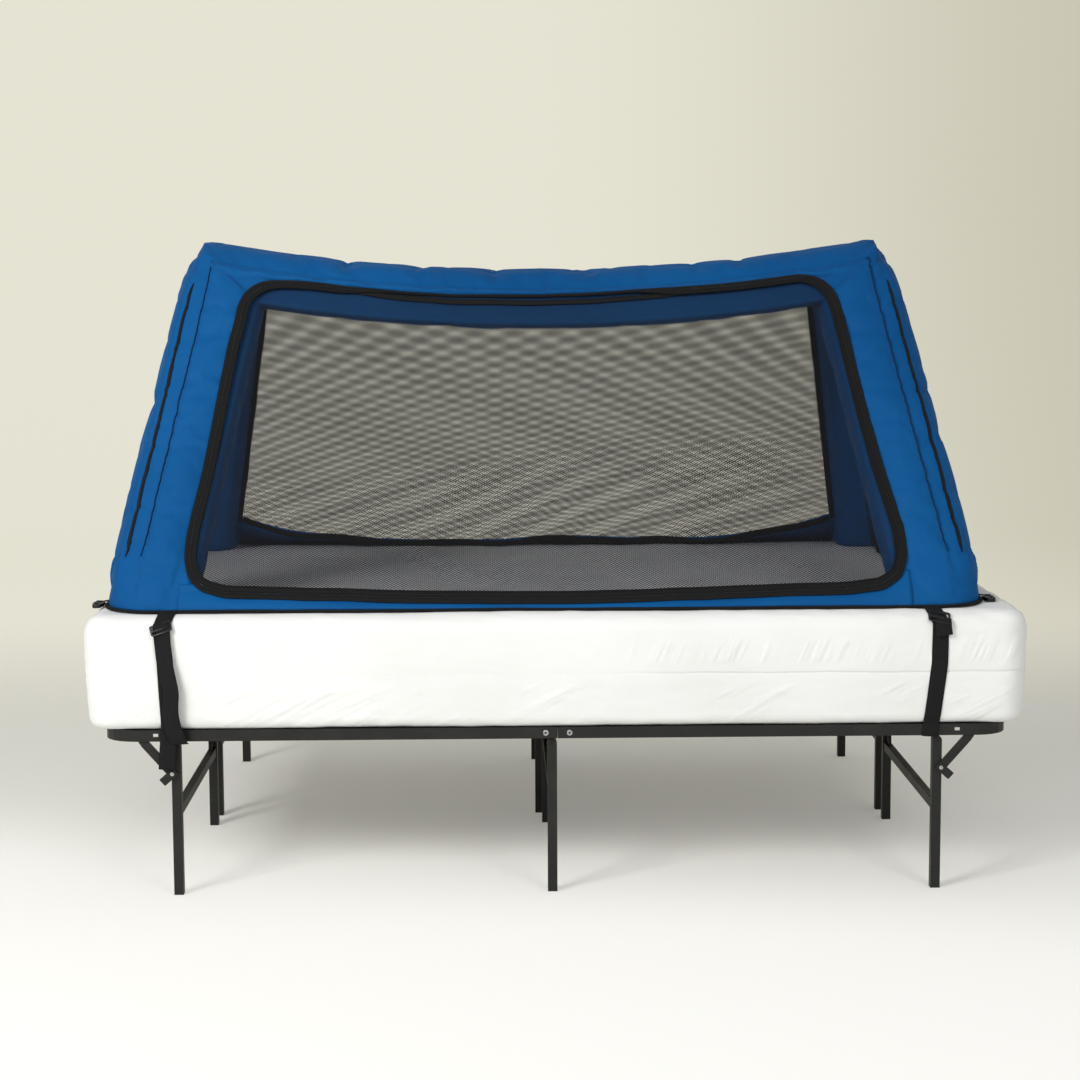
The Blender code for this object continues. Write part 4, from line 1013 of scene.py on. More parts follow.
doorNet = {"depth": 0.0022, "belly": 0.006, "spacing": 0.006}
doorTurns = ((-0.699, 0.627), (-0.45, 0.620), (-0.30, 0.6145), (0.0, 0.612), (0.20, 0.615), (0.40, 0.621), (0.619, 0.6265),
             (0.692, 0.636), (0.731, 0.660), (0.746, 0.700), (0.745, 0.756), (0.711, 0.883), (0.683, 1.02), (0.660, 1.148),
             (0.653, 1.189), (0.646, 1.222), (0.640, 1.243), (0.633, 1.261), (0.619, 1.278), (0.603, 1.289), (0.586, 1.295),
             (0.564, 1.298), (0.543, 1.297), (0.508, 1.292), (0.418, 1.281), (0.353, 1.275), (0.280, 1.270), (0.198, 1.266),
             (0.086, 1.259), (-0.025, 1.2555), (-0.215, 1.2566), (-0.316, 1.262), (-0.393, 1.269), (-0.460, 1.276),
             (-0.506, 1.283), (-0.557, 1.288), (-0.608, 1.290), (-0.639, 1.289), (-0.659, 1.282), (-0.675, 1.270),
             (-0.688, 1.254), (-0.696, 1.235), (-0.703, 1.192), (-0.714, 1.148), (-0.734, 1.02),
             (-0.755, 0.891), (-0.783, 0.756), (-0.787, 0.710), (-0.777, 0.668), (-0.750, 0.641))


def smoothed(points, window, closed):
    # moving average of an evenly spaced path, which rounds its corners
    half = window // 2
    count = len(points)
    made = np.zeros_like(points)
    for k in range(-half, half + 1):
        made += np.roll(points, k, axis=0) if closed else points[np.clip(np.arange(count) + k, 0, count - 1)]
    return made / (2 * half + 1)


def evenly(points, spacing, closed=False):
    points = np.asarray(points, float)
    if closed:
        points = np.concatenate([points, points[:1]])
    lengths = lengthsAlong(points)
    count = max(int(round(lengths[-1] / spacing)), 2)
    wanted = np.linspace(0, lengths[-1], count + 1)
    made = np.stack([np.interp(wanted, lengths, points[:, k]) for k in range(points.shape[1])], axis=1)
    return made[:-1] if closed else made


def doorOutline(inset):
    # the door's edge as (s, z), anticlockwise, drawn in by inset
    turns = np.array(doorTurns) - np.array((tent["middleX"], 0))
    points = smoothed(evenly(turns, doorNet["spacing"], closed=True), 5, True)
    return points - outwardOf(points) * np.reshape(inset, (-1, 1))


def tapeWidths(plan):
    # the zip's two tapes are narrower on the top edge, and narrowest where the door hangs away from its zip
    top = np.array([(1 - ease(abs(s), 0.57, 0.65)) * (z > 1) for s, z in plan])
    loose = top * np.array([ease(s, -0.47, -0.33) * (1 - ease(s, 0.20, 0.31)) for s, z in plan])
    return 0.0125 - 0.0055 * top - 0.0030 * loose, 0.0125 - 0.0020 * top - 0.0078 * loose


def upAndDown(plan):
    # an outline's lower and upper edges, each as (s, z) from left to right
    plan = np.roll(plan, -int(np.argmin(plan[:, 0])), axis=0)
    turn = int(np.argmax(plan[:, 0]))
    return plan[:turn + 1], np.concatenate([plan[turn:], plan[:1]])[::-1]


doorTop = upAndDown(doorOutline(0.0))[1]
widths = tapeWidths(doorOutline(0.0))
doorLower, doorUpper = upAndDown(doorOutline(widths[0] + widths[1] * 0.4))


def insideDoor(s, t):
    z = tent["base"] + t / slope
    return (z > np.interp(s, doorLower[:, 0], doorLower[:, 1], left=9, right=9)) & \
        (z < np.interp(s, doorUpper[:, 0], doorUpper[:, 1], left=0, right=0))


def doorLow(s):
    # the band's lower edge
    low = np.array(sorted(turn for turn in doorTurns if turn[1] < 0.665))
    return float(np.interp(s + tent["middleX"], low[:, 0], low[:, 1]))


def doorHigh(s):
    # the band's upper edge
    return np.interp(s, doorTop[:, 0], doorTop[:, 1])


def doorSurface(s, t):
    z = tent["base"] + t / slope
    share = np.clip((z - tent["base"]) / door["top"], 0, 1)
    soft = np.sin(math.pi * share) * np.cos(np.clip(s / door["halfWidth"], -1, 1) * math.pi / 2)
    ripple = 0.0022 * np.sin(s * 17 + 2.4 * np.sin(t * 9)) * np.sin(math.pi * share)
    low = np.exp(-((share - 0.10) / 0.09) ** 2) * 0.004 * np.sin(s * 13 + 1.1)
    depth = doorNet["depth"] - doorNet["belly"] * soft * 0.6 + ripple + low
    return np.stack([tent["middleX"] + s, faceY(-1, z) - depth * slope, z], axis=-1)


makeNet("doorNetting", doorSurface, insideDoor, 0.79, (0.0, 0.82), "front_door", 0.00105, "front_door_mesh")

backWindow = {"tuck": 0.010, "bottom": 0.6125, "cornerRise": 0.066, "depthShare": 0.5, "step": 0.014}


def backHalf(z, inset):
    return outerX(z) - tent["backColumn"] - inset


def backLow(s):
    share = np.clip(np.abs(s) / 0.76, 0, 1)
    return backWindow["bottom"] + backWindow["cornerRise"] * share ** 5 + 0.006 * np.sin(s * 9 + 0.6) * (1 - share)


def backHigh(s):
    # the sagging lower edge of the back's top beam
    share = np.minimum(np.abs(s) / backHalf(tentUnder, 0), 1)
    return tentUnder - tent["underSag"] * (1 - share ** 2)


def insideBack(s, t):
    z = tent["base"] + t / slope
    gapX = backHalf(z, -backWindow["tuck"]) - np.abs(s)
    return (gapX > 0) & (z < backHigh(s) + backWindow["tuck"]) & (z > backLow(s))


def backSurface(s, t):
    z = tent["base"] + t / slope
    share = np.clip((z - tent["base"]) / 0.6, 0, 1)
    low = np.exp(-((share - 0.16) / 0.17) ** 2)
    middle = np.exp(-((s - 0.10) / 0.42) ** 2)
    fold = 0.010 * low * (0.45 + middle) * np.sin((s * 1.0 - z * 2.3) * 34 + 1.3 * np.sin(s * 6))
    drag = 0.004 * np.sin((s * 0.8 + z * 1.7) * 21 + 2.0 * np.sin(s * 3 + z * 5)) * np.sin(math.pi * share)
    depth = (fold + drag) * np.clip((backHalf(z, 0) - np.abs(s)) / 0.06, 0, 1)
    return np.stack([tent["middleX"] + s, faceY(1, z) - tent["tubeDepth"] * backWindow["depthShare"] + depth, z], axis=-1)


makeNet("backWindowNetting", backSurface, insideBack, 0.80, (0.0, 0.74), "bed", 0.00150, "back_window_mesh",
        step=backWindow["step"])

sideWindow = {"in": 0.080, "top": 1.285, "lean": math.sqrt(1 + tent["sideLean"] ** 2),
              "middleY": tent["frontY"] + tent["depth"] / 2}


def sideReach(z, extra):
    return tent["depth"] / 2 - tent["faceLean"] * (z - tent["base"]) - tent["tubeDepth"] + extra


def makeSideNet(way, word):
    def sideInside(s, t):
        z = tent["base"] + t / sideWindow["lean"]
        return (np.abs(s) < sideReach(z, 0.012)) & (z > tent["base"] + 0.002) & (z < sideWindow["top"])

    def sideSurface(s, t):
        z = tent["base"] + t / sideWindow["lean"]
        soft = np.sin(math.pi * np.clip((z - tent["base"]) / 0.6, 0, 1))
        puff = 0.004 * soft * np.sin(s * 15 + t * 7) + 0.003 * soft
        return np.stack([tent["middleX"] + way * (outerX(z) - sideWindow["in"] - puff), sideWindow["middleY"] + s, z], axis=-1)

    makeNet(f"{word}WindowNetting", sideSurface, sideInside, 0.50, (0.0, 0.71), "bed", 0.00130,
            f"{word}_window_mesh")


makeSideNet(-1, "left")
makeSideNet(1, "right")
print("netting ready")


# Geometry Nodes: one tree sets a small shape out along a path at an even pitch, turned to the cloth under it


def makeRepeatTree():
    tree = bpy.data.node_groups.new("setOutAlongPath", "GeometryNodeTree")
    for socket, kind in (("Geometry", "Geometry"), ("Pitch", "Float"), ("Shape", "Object"), ("Unevenness", "Float"),
                         ("Finish", "Material")):
        tree.interface.new_socket(socket, in_out="INPUT", socket_type="NodeSocket" + kind)
    tree.interface.new_socket("Geometry", in_out="OUTPUT", socket_type="NodeSocketGeometry")

    def node(kind, settings, inputs, output):
        made = tree.nodes.new(kind)
        for key, value in settings.items():
            setattr(made, key, value)
        for key, value in inputs.items():
            if isinstance(value, bpy.types.NodeSocket):
                tree.links.new(value, made.inputs[key])
            else:
                made.inputs[key].default_value = value
        return made.outputs[output]

    given = tree.nodes.new("NodeGroupInput").outputs
    curve = node("GeometryNodeMeshToCurve", {}, {"Mesh": given["Geometry"]}, "Curve")
    spaced = node("GeometryNodeResampleCurve", {"mode": "LENGTH"}, {"Curve": curve, "Length": given["Pitch"]}, "Curve")
    run, face = (node("GeometryNodeInputNamedAttribute", {"data_type": "FLOAT_VECTOR"}, {"Name": name}, "Attribute")
                 for name in ("run", "face"))
    first = node("FunctionNodeAlignRotationToVector", {"axis": "X"}, {"Vector": run}, "Rotation")
    turned = node("FunctionNodeAlignRotationToVector", {"axis": "Z", "pivot_axis": "X"},
                  {"Rotation": first, "Vector": face}, "Rotation")
    chance = node("FunctionNodeRandomValue", {"data_type": "FLOAT"}, {2: -1.0, 3: 1.0, "Seed": 5}, 1)
    size = node("ShaderNodeMath", {"operation": "MULTIPLY_ADD"}, {0: chance, 1: given["Unevenness"], 2: 1.0}, 0)
    shape = node("GeometryNodeObjectInfo", {}, {"Object": given["Shape"]}, "Geometry")
    copies = node("GeometryNodeInstanceOnPoints", {},
                  {"Points": spaced, "Instance": shape, "Rotation": turned, "Scale": size}, "Instances")
    real = node("GeometryNodeRealizeInstances", {}, {"Geometry": copies}, "Geometry")
    painted = node("GeometryNodeSetMaterial", {}, {"Geometry": real, "Material": given["Finish"]}, "Geometry")
    tree.links.new(painted, tree.nodes.new("NodeGroupOutput").inputs["Geometry"])
    return tree


repeatTree = makeRepeatTree()


def pill(name, length, width, height, bevel=0.3, sides=6):
    # a small rounded bar along X, closed and flat underneath
    verts, faces = [], []
    for x, share in ((-0.5, 0.35), (-0.5 + bevel * 0.5, 1.0), (0.5 - bevel * 0.5, 1.0), (0.5, 0.35)):
        verts += [(x * length, math.cos(math.pi * k / (sides - 1)) * width / 2 * share,
                   math.sin(math.pi * k / (sides - 1)) * height * (0.5 + 0.5 * share)) for k in range(sides)]
    for i in range(3):
        for j in range(sides):
            k = (j + 1) % sides
            faces.append((i * sides + j, (i + 1) * sides + j, (i + 1) * sides + k, i * sides + k))
    faces += [tuple(range(sides)), tuple(3 * sides + j for j in range(sides))[::-1]]
    mesh = bpy.data.meshes.new(name)
    mesh.from_pydata(verts, [], faces)
    return bpy.data.objects.new(name, turnedOut(mesh))


def setOut(name, paths, shape, pitch, finish, slot, unevenness):
    # one plain piece of shapes along paths, each a (points, runs, normals, closed)
    verts, edges, runs, normals = [], [], [], []
    for points, run, normal, closed in paths:
        start = len(verts)
        verts += [tuple(p) for p in points]
        runs += [tuple(r) for r in run]
        normals += [tuple(n) for n in normal]
        edges += [(start + k, start + k + 1) for k in range(len(points) - 1)]
        if closed:
            edges.append((start + len(points) - 1, start))
    mesh = bpy.data.meshes.new(name + "Path")
    mesh.from_pydata(verts, edges, [])
    for word, values in (("run", runs), ("face", normals)):
        mesh.attributes.new(word, "FLOAT_VECTOR", "POINT").data.foreach_set("vector", np.array(values, float).ravel())
    holder = link(mesh, name + "Path", smooth=False)
    modifier = holder.modifiers.new("repeat", "NODES")
    modifier.node_group = repeatTree
    given = {"Pitch": pitch, "Shape": shape, "Unevenness": unevenness, "Finish": finish.material}
    for socket in repeatTree.interface.items_tree:
        if socket.in_out == "INPUT" and socket.name in given:
            modifier[socket.identifier] = given[socket.name]
    holder.update_tag()
    made = bpy.data.meshes.new_from_object(holder.evaluated_get(bpy.context.evaluated_depsgraph_get()))
    bpy.data.objects.remove(holder, do_unlink=True)
    made.name = name
    for word in ("run", "face"):
        if word in made.attributes:
            made.attributes.remove(made.attributes[word])
    made.materials.clear()
    placed(link(made, name, finish), slot)


# Door zip: an outer tape sewn to the enclosure, the coil, and an inner tape that swings with the door

zipBand = {"thickness": 0.0016, "coilWidth": 0.0044, "coilPitch": 0.0019, "stitchPitch": 0.0042,
           "wander": 0.00144, "wobble": 0.0022, "stand": 0.0036, "spacing": 0.006}
sewn = {"clear": 0.0014, "spread": 14, "fall": 0.985, "sideSpread": 5, "sideMost": 0.014}


def fabricAbove(unit, points, normal, reach=0.03):
    # how far an arch's fabric stands over each point
    cloth = arches[unit].points
    rows, columns = cloth.shape[:2]
    tree = BVHTree.FromPolygons([tuple(point) for point in cloth.reshape(-1, 3)], gridFaces(rows, columns, rows - 1, columns))
    heights = []
    for point, up in zip(points, normal):
        distance = tree.ray_cast(Vector(point + up * reach), Vector(-up), reach)[3]
        heights.append(0.0 if distance is None else reach - distance)
    return np.array(heights)


def spreadLift(lift, steps):
    # the rise of a closed tape over the fabric under it, carried on beyond both ends of each rise
    lift = lift + sewn["clear"] * (lift > 0)
    for step in range(steps):
        lift = np.maximum(lift, np.maximum(np.roll(lift, 1), np.roll(lift, -1)) * sewn["fall"])
    return smoothed(np.stack([lift, lift], axis=1), 9, True)[:, 0]


def bandLift(width):
    # the band rises over the inflated tubes beside it
    lift = np.zeros(len(width))
    for share in (0.1, 0.4, 0.7, 1.0):
        points, side, normal = doorBandPath(width * share, zipBand["stand"])
        lift = np.maximum(lift, fabricAbove(-1, points, normal))
    return spreadLift(lift, sewn["spread"])


def doorBandPath(shift, depth, lift=0.0):
    # 3D points, side and normal of a line beside the band's middle, wandering as a sewn tape does
    plan = doorOutline(widths[0])
    outward, lengths = outwardOf(plan), lengthsAlong(plan)
    loop = lengths / (lengths[-1] + zipBand["spacing"]) * 2 * math.pi

    def swing(scale, seed):
        return np.array([noise.noise(Vector((math.cos(a) * scale, math.sin(a) * scale, seed))) for a in loop])

    wander = (swing(2.6, 1.7) * 0.75 + swing(7.0, 4.1) * 0.4) * zipBand["wander"]
    plan = plan + outward * (wander + shift)[:, None]
    stand = depth + np.maximum(swing(6.5, 8.3) * zipBand["wobble"], -0.001) + lift
    points = np.stack([tent["middleX"] + plan[:, 0], faceY(-1, plan[:, 1]) - stand * slope, plan[:, 1]], axis=1)
    side = np.stack([outward[:, 0], outward[:, 1] * tent["faceLean"], outward[:, 1]], axis=1)
    return points, unitVector(side), np.broadcast_to(facing[-1], points.shape)


# s, depth below the band's upper edge and width
hemTurns = ((-0.455, 0.0100, 0.004), (-0.373, 0.0120, 0.012), (-0.298, 0.0145, 0.013), (-0.196, 0.0165, 0.0130),
            (-0.007, 0.0190, 0.0115), (0.197, 0.0188, 0.0112), (0.280, 0.0160, 0.0112), (0.350, 0.0120, 0.004))


def makeDoorZip():
    depth, thick = zipBand["stand"], zipBand["thickness"]
    outer, inner = widths
    lift = bandLift(outer)
    print("door band lifted by up to", round(float(lift.max()), 4))
    sewnTape("doorZipOuterTape", doorBandPath(outer / 2 + 0.0002, depth, lift), outer, thick, 0.0006, "door_zip", closed=True)
    sewnTape("doorZipInnerTape", doorBandPath(-inner / 2 - 0.0002, depth, lift), inner, thick, 0.0004,
             closed=True, body="front_door")
    sewnTape("doorNetBinding", doorBandPath(0.0010 - inner, depth + 0.0002, lift), 0.0016 + inner * 0.2, 0.0030, 0.0012,
             closed=True, body="front_door")
    points, side, normal = doorBandPath(0.0, depth + thick * 0.55, lift)
    tooth = pill("coilTurn", zipBand["coilWidth"], 0.0015, 0.0012)
    setOut("doorZipCoil", [(points, side, normal, True)], tooth, zipBand["coilPitch"], zipCoil, "black_webbing", 0.04)
    points, side, normal = doorBandPath(outer * 0.78, depth + thick * 0.72, lift)
    stitch = pill("bandStitch", 0.0030, 0.0007, 0.0005)
    setOut("doorZipStitching", [(points, runAlong(points, closed=True), normal, True)], stitch, zipBand["stitchPitch"],
           moulding, "black_webbing", 0.1)
    # the door's own hem, which hangs away from the zip along the middle of the top
    turns = np.array(hemTurns)
    s = np.linspace(turns[0, 0], turns[-1, 0], 121)
    z = doorHigh(s) - np.interp(s, turns[:, 0], turns[:, 1]) + 0.0006 * np.sin(s * 43)
    z = smoothed(np.stack([s, z], axis=1), 9, False)[:, 1]
    points = np.stack([tent["middleX"] + s, faceY(-1, z) - (depth + 0.0012) * slope, z], axis=1)
    normal = np.broadcast_to(facing[-1], points.shape)
    side = unitVector(np.cross(normal, runAlong(points)))
    sewnTape("doorTopHem", (points, side, normal), np.interp(s, turns[:, 0], turns[:, 2]), 0.0024, 0.0006, body="front_door")


makeDoorZip()
print("door zip ready")


# Seams and zips sewn along the columns and the top beams


def layAlong(unit, rowsAt, columnAt, lift):
    # a line on an arch's fabric: points, the way across it and the way out of it
    points, sides, normals = [], [], []
    for i, j in zip(rowsAt, columnAt):
        point, normal = arches[unit].at(i, j)
        sides.append(arches[unit].at(i, j + 0.5)[0] - arches[unit].at(i, j - 0.5)[0])
        points.append(point + normal * lift)
        normals.append(normal)
    return np.array(points), unitVector(np.array(sides)), np.array(normals)


def columnRing(way, along):
    # the arch's ring at a share of a column's height
    rings = skin["columnRings"]
    return rings * along if way < 0 else rings + skin["beamRings"] + (1 - along) * rings


corners = [(unit, way) for unit in (-1, 1) for way in (-1, 1)]


def cornerWords(unit, way):
    # a corner's name in the pieces and in the CAD parts
    depth, side = ("front" if unit < 0 else "back"), ("left" if way < 0 else "right")
    return depth + side.capitalize(), depth + "_" + side


columnSeam = {"line": 1.0, "zip": 88.6, "width": 0.0098, "thickness": 0.0013, "piping": 0.0030, "coil": 0.0042,
              "coilPitch": 0.0021, "trim": 3}


def makeColumnSeams(unit, way):
    word, node = cornerWords(unit, way)

    def seamLine(alongs, column, wander, lift, fade, least):
        line = layAlong(unit, [columnRing(way, a) for a in alongs], column + np.array(wander), lift)
        return line, np.clip(np.minimum(alongs - alongs[0], alongs[-1] - alongs) / fade, least, 1) ** 0.5

    alongs = np.linspace(0.145, 0.905, 120)
    wander = [0.22 * wave(0, a, unit * 3 + way, 7, 2.2) for a in alongs]
    line, ends = seamLine(alongs, columnSeam["zip"], wander, columnSeam["thickness"] * 0.7, 0.03, 0.12)
    sewnTape(word + "ColumnZip", line, columnSeam["width"] * ends, columnSeam["thickness"], 0.0004, node + "_column_zip")
    tooth = pill("columnTurn", columnSeam["coil"], 0.0015, 0.0011)
    points, side, normal = (field[columnSeam["trim"]:-columnSeam["trim"]] for field in line)
    setOut(word + "ColumnCoil", [(points + normal * columnSeam["thickness"] * 0.6, side, normal, False)], tooth,
           columnSeam["coilPitch"], zipCoil, "black_webbing", 0.04)
    alongs = np.linspace(0.150, 0.985, 130)
    wander = [0.3 * wave(a, 0, unit * 5 + way, 6, 4.2) for a in alongs]
    line, ends = seamLine(alongs, columnSeam["line"], wander, 0.0007, 0.05, 0.15)
    # the piping's navy colour also paints the shade of the seam's crease
    sewnTape(word + "ColumnPiping", line, columnSeam["piping"] * ends, 0.0016, 0.0012, finish=pipingCreaseShade)


for unit, way in corners:
    makeColumnSeams(unit, way)

beamSeam = {"stitchColumn": 1.9, "columnLines": (2.2, 86.2), "mitre": 0.55, "pitch": 0.0048, "lift": 0.0004}


def makeBeamSeams():
    paths = []

    def stitched(unit, rows, columns):
        points, side, normal = layAlong(unit, rows, columns, beamSeam["lift"])
        paths.append((points, runAlong(points), normal, False))

    for unit in (-1, 1):
        stitched(unit, np.linspace(90, 244, 300), [beamSeam["stitchColumn"]] * 300)
        for way in (-1, 1):
            rows = [columnRing(way, a) for a in np.linspace(0.06, 0.98, 160)]
            for column in beamSeam["columnLines"]:
                stitched(unit, rows, [column] * 160)
            for offset in (-beamSeam["mitre"], beamSeam["mitre"]):
                stitched(unit, [columnRing(way, 1) + offset] * 70, np.linspace(1.0, 20.0, 70))
    stitch = pill("seamStitch", 0.0034, 0.0008, 0.0007)
    setOut("enclosureStitching", paths, stitch, beamSeam["pitch"], thread, "sleeve_fabric", 0.08)


makeBeamSeams()
print("column zips and seams ready")

# Sills: the fabric strips between the columns under the door and under the back window

sill = {"count": 190, "rows": 12, "thickness": 0.0014}


def makeSill(name, half, low, high, place):
    # place(s, share, z) gives the point; the strip is closed to a thin sheet with its own back
    def point(i, share):
        s = half * (2 * i / sill["count"] - 1)
        return place(s, share, low(s) + (high(s) - low(s)) * share)

    front = np.array([[point(i, k / sill["rows"]) for i in range(sill["count"] + 1)] for k in range(sill["rows"] + 1)])
    back = front - gridNormals(front, loopAcross=False) * sill["thickness"]
    shell = np.concatenate([front, back[:, ::-1]], axis=1)
    width = shell.shape[1]

    def closeEdges(bm):
        for first in (0, sill["rows"] * width):
            for j in range(width // 2 - 1):
                bm.faces.new([bm.verts[first + k] for k in (j, j + 1, width - 2 - j, width - 1 - j)])

    mesh = turnedOut(gridMesh(name, shell, lambda i, j: (j * 0.0085, i * 0.004), loopAcross=True), closeEdges)
    placed(link(mesh, name, nylon), "sleeve_fabric")


def frontSillPlace(s, share, z):
    showing = (z - tent["base"]) / (doorLow(s) - tent["base"])
    roll = math.sin(math.pi * min(max(showing, 0), 1)) ** 0.8
    depth = 0.0004 + 0.0046 * roll + 0.0016 * wave(s, z, 0, 14, 3.3) * roll
    return (tent["middleX"] + s, faceY(-1, z) - depth * slope, z)


def backSillPlace(s, share, z):
    roll = math.sin(math.pi * share) ** 0.8
    t = (z - tent["base"]) * slope
    point = backSurface(np.array([s]), np.array([t]))[0]
    foot = 1 - ease(share, 0.0, 0.75)
    return (point[0], point[1] * (1 - foot) + (faceY(1, z) - 0.0020) * foot - 0.0035 * roll - 0.0008, z)


makeSill("frontSillFabric", 0.772, lambda s: tent["base"] - 0.0015, lambda s: doorLow(s) + 0.0150, frontSillPlace)
makeSill("backSillFabric", 0.788, lambda s: tent["base"] - 0.0012, lambda s: float(backLow(s)) + 0.0085, backSillPlace)


# Bindings round the back window and the side windows


def backLine(s, z, stand):
    # a line on the back net, with its side and the way to the inside
    points = backSurface(s, (z - tent["base"]) * slope) + np.array((0, stand, 0))
    inward = np.broadcast_to(-facing[1], points.shape)
    return points, unitVector(np.cross(runAlong(points), -inward)), inward


def makeBackBinding():
    s = np.linspace(-0.752, 0.752, 260)
    z = backLow(s) + 0.003 * np.sin(s * 23 + 0.5)
    points = backLine(s, z, -0.0032)[0]
    run = runAlong(points)
    up = np.cross(np.broadcast_to(-facing[1], points.shape), run)
    up *= np.sign(up[:, 2:3])
    normal = unitVector(np.cross(run, up))
    normal *= -np.sign(normal[:, 1:2])
    width = 0.0165 + 0.002 * np.sin(s * 11)
    sewnTape("backWindowBand", (points, up, normal), width, 0.0034, 0.0012)
    sewnTape("backWindowOuterBand", (points + facing[1] * 0.0052, up, -normal), width * 0.8, 0.0034, 0.0012)
    for way, word in ((-1, "Left"), (1, "Right")):
        z = np.linspace(backLow(0.745), tentUnder - 0.004, 80)
        s = way * (backHalf(z, 0.003) + 0.0040 + 0.0015 * np.sin(z * 37))
        sewnTape("backWindowEdge" + word, backLine(s, z, -0.0026), 0.0135, 0.0026, 0.0008)
    reach = backHalf(tentUnder - 0.01, 0)
    s = np.linspace(-reach, reach, 120)
    sewnTape("backWindowEdgeTop", backLine(s, backHigh(s) - 0.004, -0.0026), 0.0060, 0.0026, 0.0008)


makeBackBinding()


def makeSideBinding(way, word):
    low, high = tent["base"] + 0.007, sideWindow["top"] - 0.006

    def across(z, sense, count):
        return [(s * sense, z) for s in np.linspace(-sideReach(z, 0.002), sideReach(z, 0.002), count)]

    def upward(first, last, sense):
        return [(sense * sideReach(z, 0.002), z) for z in np.linspace(first, last, 60)[1:]]

    plan = np.array(across(low, 1, 70) + upward(low, high, 1) + across(high, -1, 16)[1:] + upward(high, low, -1)[:-1])
    x = way * (outerX(plan[:, 1]) - sideWindow["in"] - 0.0025)
    path = np.stack([tent["middleX"] + x, sideWindow["middleY"] + plan[:, 0], plan[:, 1]], axis=1)
    points = smoothed(evenly(path, 0.012, closed=True), 5, True)
    outward = np.array((way, 0, tent["sideLean"])) / sideWindow["lean"]
    normals = np.broadcast_to(outward, points.shape)
    side = unitVector(np.cross(runAlong(points, closed=True), normals))
    lift = np.zeros(len(points))
    for unit in (-1, 1):
        for shift in (-0.005, 0, 0.005):
            lift = np.maximum(lift, fabricAbove(unit, points + side * shift, normals))
    lift = np.minimum(spreadLift(lift, sewn["sideSpread"]), sewn["sideMost"])
    print(word, "binding lifted by up to", round(float(lift.max()), 4))
    sewnTape(word + "WindowBinding", (points + outward * lift[:, None], side, normals), 0.0130, 0.0030, 0.0010, closed=True)


makeSideBinding(-1, "left")
makeSideBinding(1, "right")
print("sills and bindings ready")


# Hem binding of the floor sheet, with the webbing of the two corner buckles, and the floor sheet itself

hem = {"width": 0.0080, "height": 0.0050, "corner": 0.118, "grown": 0.0026, "bottom": 0.5986, "stitchPitch": 0.0044}
footMiddle = (tent["middleX"], tent["frontY"] + tent["depth"] / 2)


def footOutline(grown, spacing):
    outline = roundedCorners(tent["length"] / 2 + grown, tent["depth"] / 2 + grown, hem["corner"] + grown, 8, footMiddle)
    return evenly(np.array(outline), spacing, closed=True)


def makeHem():
    plan = footOutline(hem["grown"], 0.010)
    outward = outwardOf(plan)
    wander = np.array([0.0016 * wave(x, y, 0, 11, 6.6) + 0.0012 * wave(x, y, 0, 31, 2.6) for x, y in plan])
    lift = np.array([abs(wave(x, y, 0, 8, 1.1)) * 0.0018 for x, y in plan])
    points = np.column_stack([plan + outward * wander[:, None], hem["bottom"] + hem["height"] / 2 + lift])
    side = np.column_stack([outward, np.full(len(plan), 0.25)])
    normal = np.column_stack([outward * -0.25, np.ones(len(plan))])
    ring = tape("hemBinding", points, side, normal, hem["width"], hem["height"], closed=True, crown=0.0010)
    placed(joined("hemBinding", [ring, buckleWebbing(-1), buckleWebbing(1)], bindingWeb), "black_webbing", "hem_binding")
    lifted = points + unitVector(normal) * hem["height"] * 0.66 + unitVector(side) * 0.0012
    stitch = pill("hemStitch", 0.0030, 0.0007, 0.0005)
    setOut("hemStitching", [(lifted, runAlong(lifted, closed=True), unitVector(normal), True)], stitch, hem["stitchPitch"],
           moulding, "black_webbing", 0.1)


cornerBuckle = {"length": 0.048, "width": 0.024, "thickness": 0.0088, "backY": -0.530, "slot": 0.005, "gap": 0.0005,
                "bottom": 0.5988, "tab": 0.016}


def buckleMiddle(way):
    return tent["middleX"] + way * (tent["length"] / 2 + 0.008 + cornerBuckle["gap"] + cornerBuckle["width"] / 2)


def webbingAlong(name, middle, way, width, thickness, twist=None):
    # a flat webbing along a 3D path, with its width along one given direction
    middle = np.asarray(middle, float)
    run = runAlong(middle)
    side = np.broadcast_to(np.asarray(way, float), middle.shape)
    side = unitVector(side - run * np.sum(side * run, axis=1, keepdims=True))
    normal = unitVector(np.cross(run, side))
    if twist is not None:
        cos, sin = np.cos(twist)[:, None], np.sin(twist)[:, None]
        side, normal = side * cos + normal * sin, normal * cos - side * sin
    return tape(name, middle, side, normal, width, thickness, crown=0.0003)


def bent(points, spacing=0.004, window=5):
    # a path through corner points, evenly spaced and rounded where it turns
    path = evenly(np.array(points, float), spacing)
    rounded = smoothed(path, window, False)
    rounded[0], rounded[-1] = path[0], path[-1]
    return rounded


def buckleWebbing(way):
    x = buckleMiddle(way)
    inner = tent["middleX"] + way * (tent["length"] / 2 - 0.006)
    bar = cornerBuckle["backY"] - cornerBuckle["slot"] / 2 + 0.001
    low = cornerBuckle["bottom"]
    path = bent([(inner, bar + 0.052, low + 0.0045), (inner + way * 0.010, bar + 0.043, low + 0.0050),
                 (x - way * 0.006, bar + 0.020, low + 0.0060), (x, bar + 0.006, low + 0.0085), (x, bar - 0.001, low + 0.0102),
                 (x, bar - 0.0035, low + 0.0070), (x, bar - 0.0035, low + 0.0030), (x, bar - 0.001, low - 0.0002),
                 (x, bar + 0.006, low + 0.0006), (x - way * 0.006, bar + 0.019, low + 0.0030)], 0.0015, 5)
    return webbingAlong("buckleTail", path, (0.8, way * 0.25, 0), cornerBuckle["tab"] * 0.92, 0.0016)


makeHem()


floorSheet = {"bottom": 0.5988, "inset": 0.001, "rings": 26, "thickness": 0.0014, "step": 0.02}


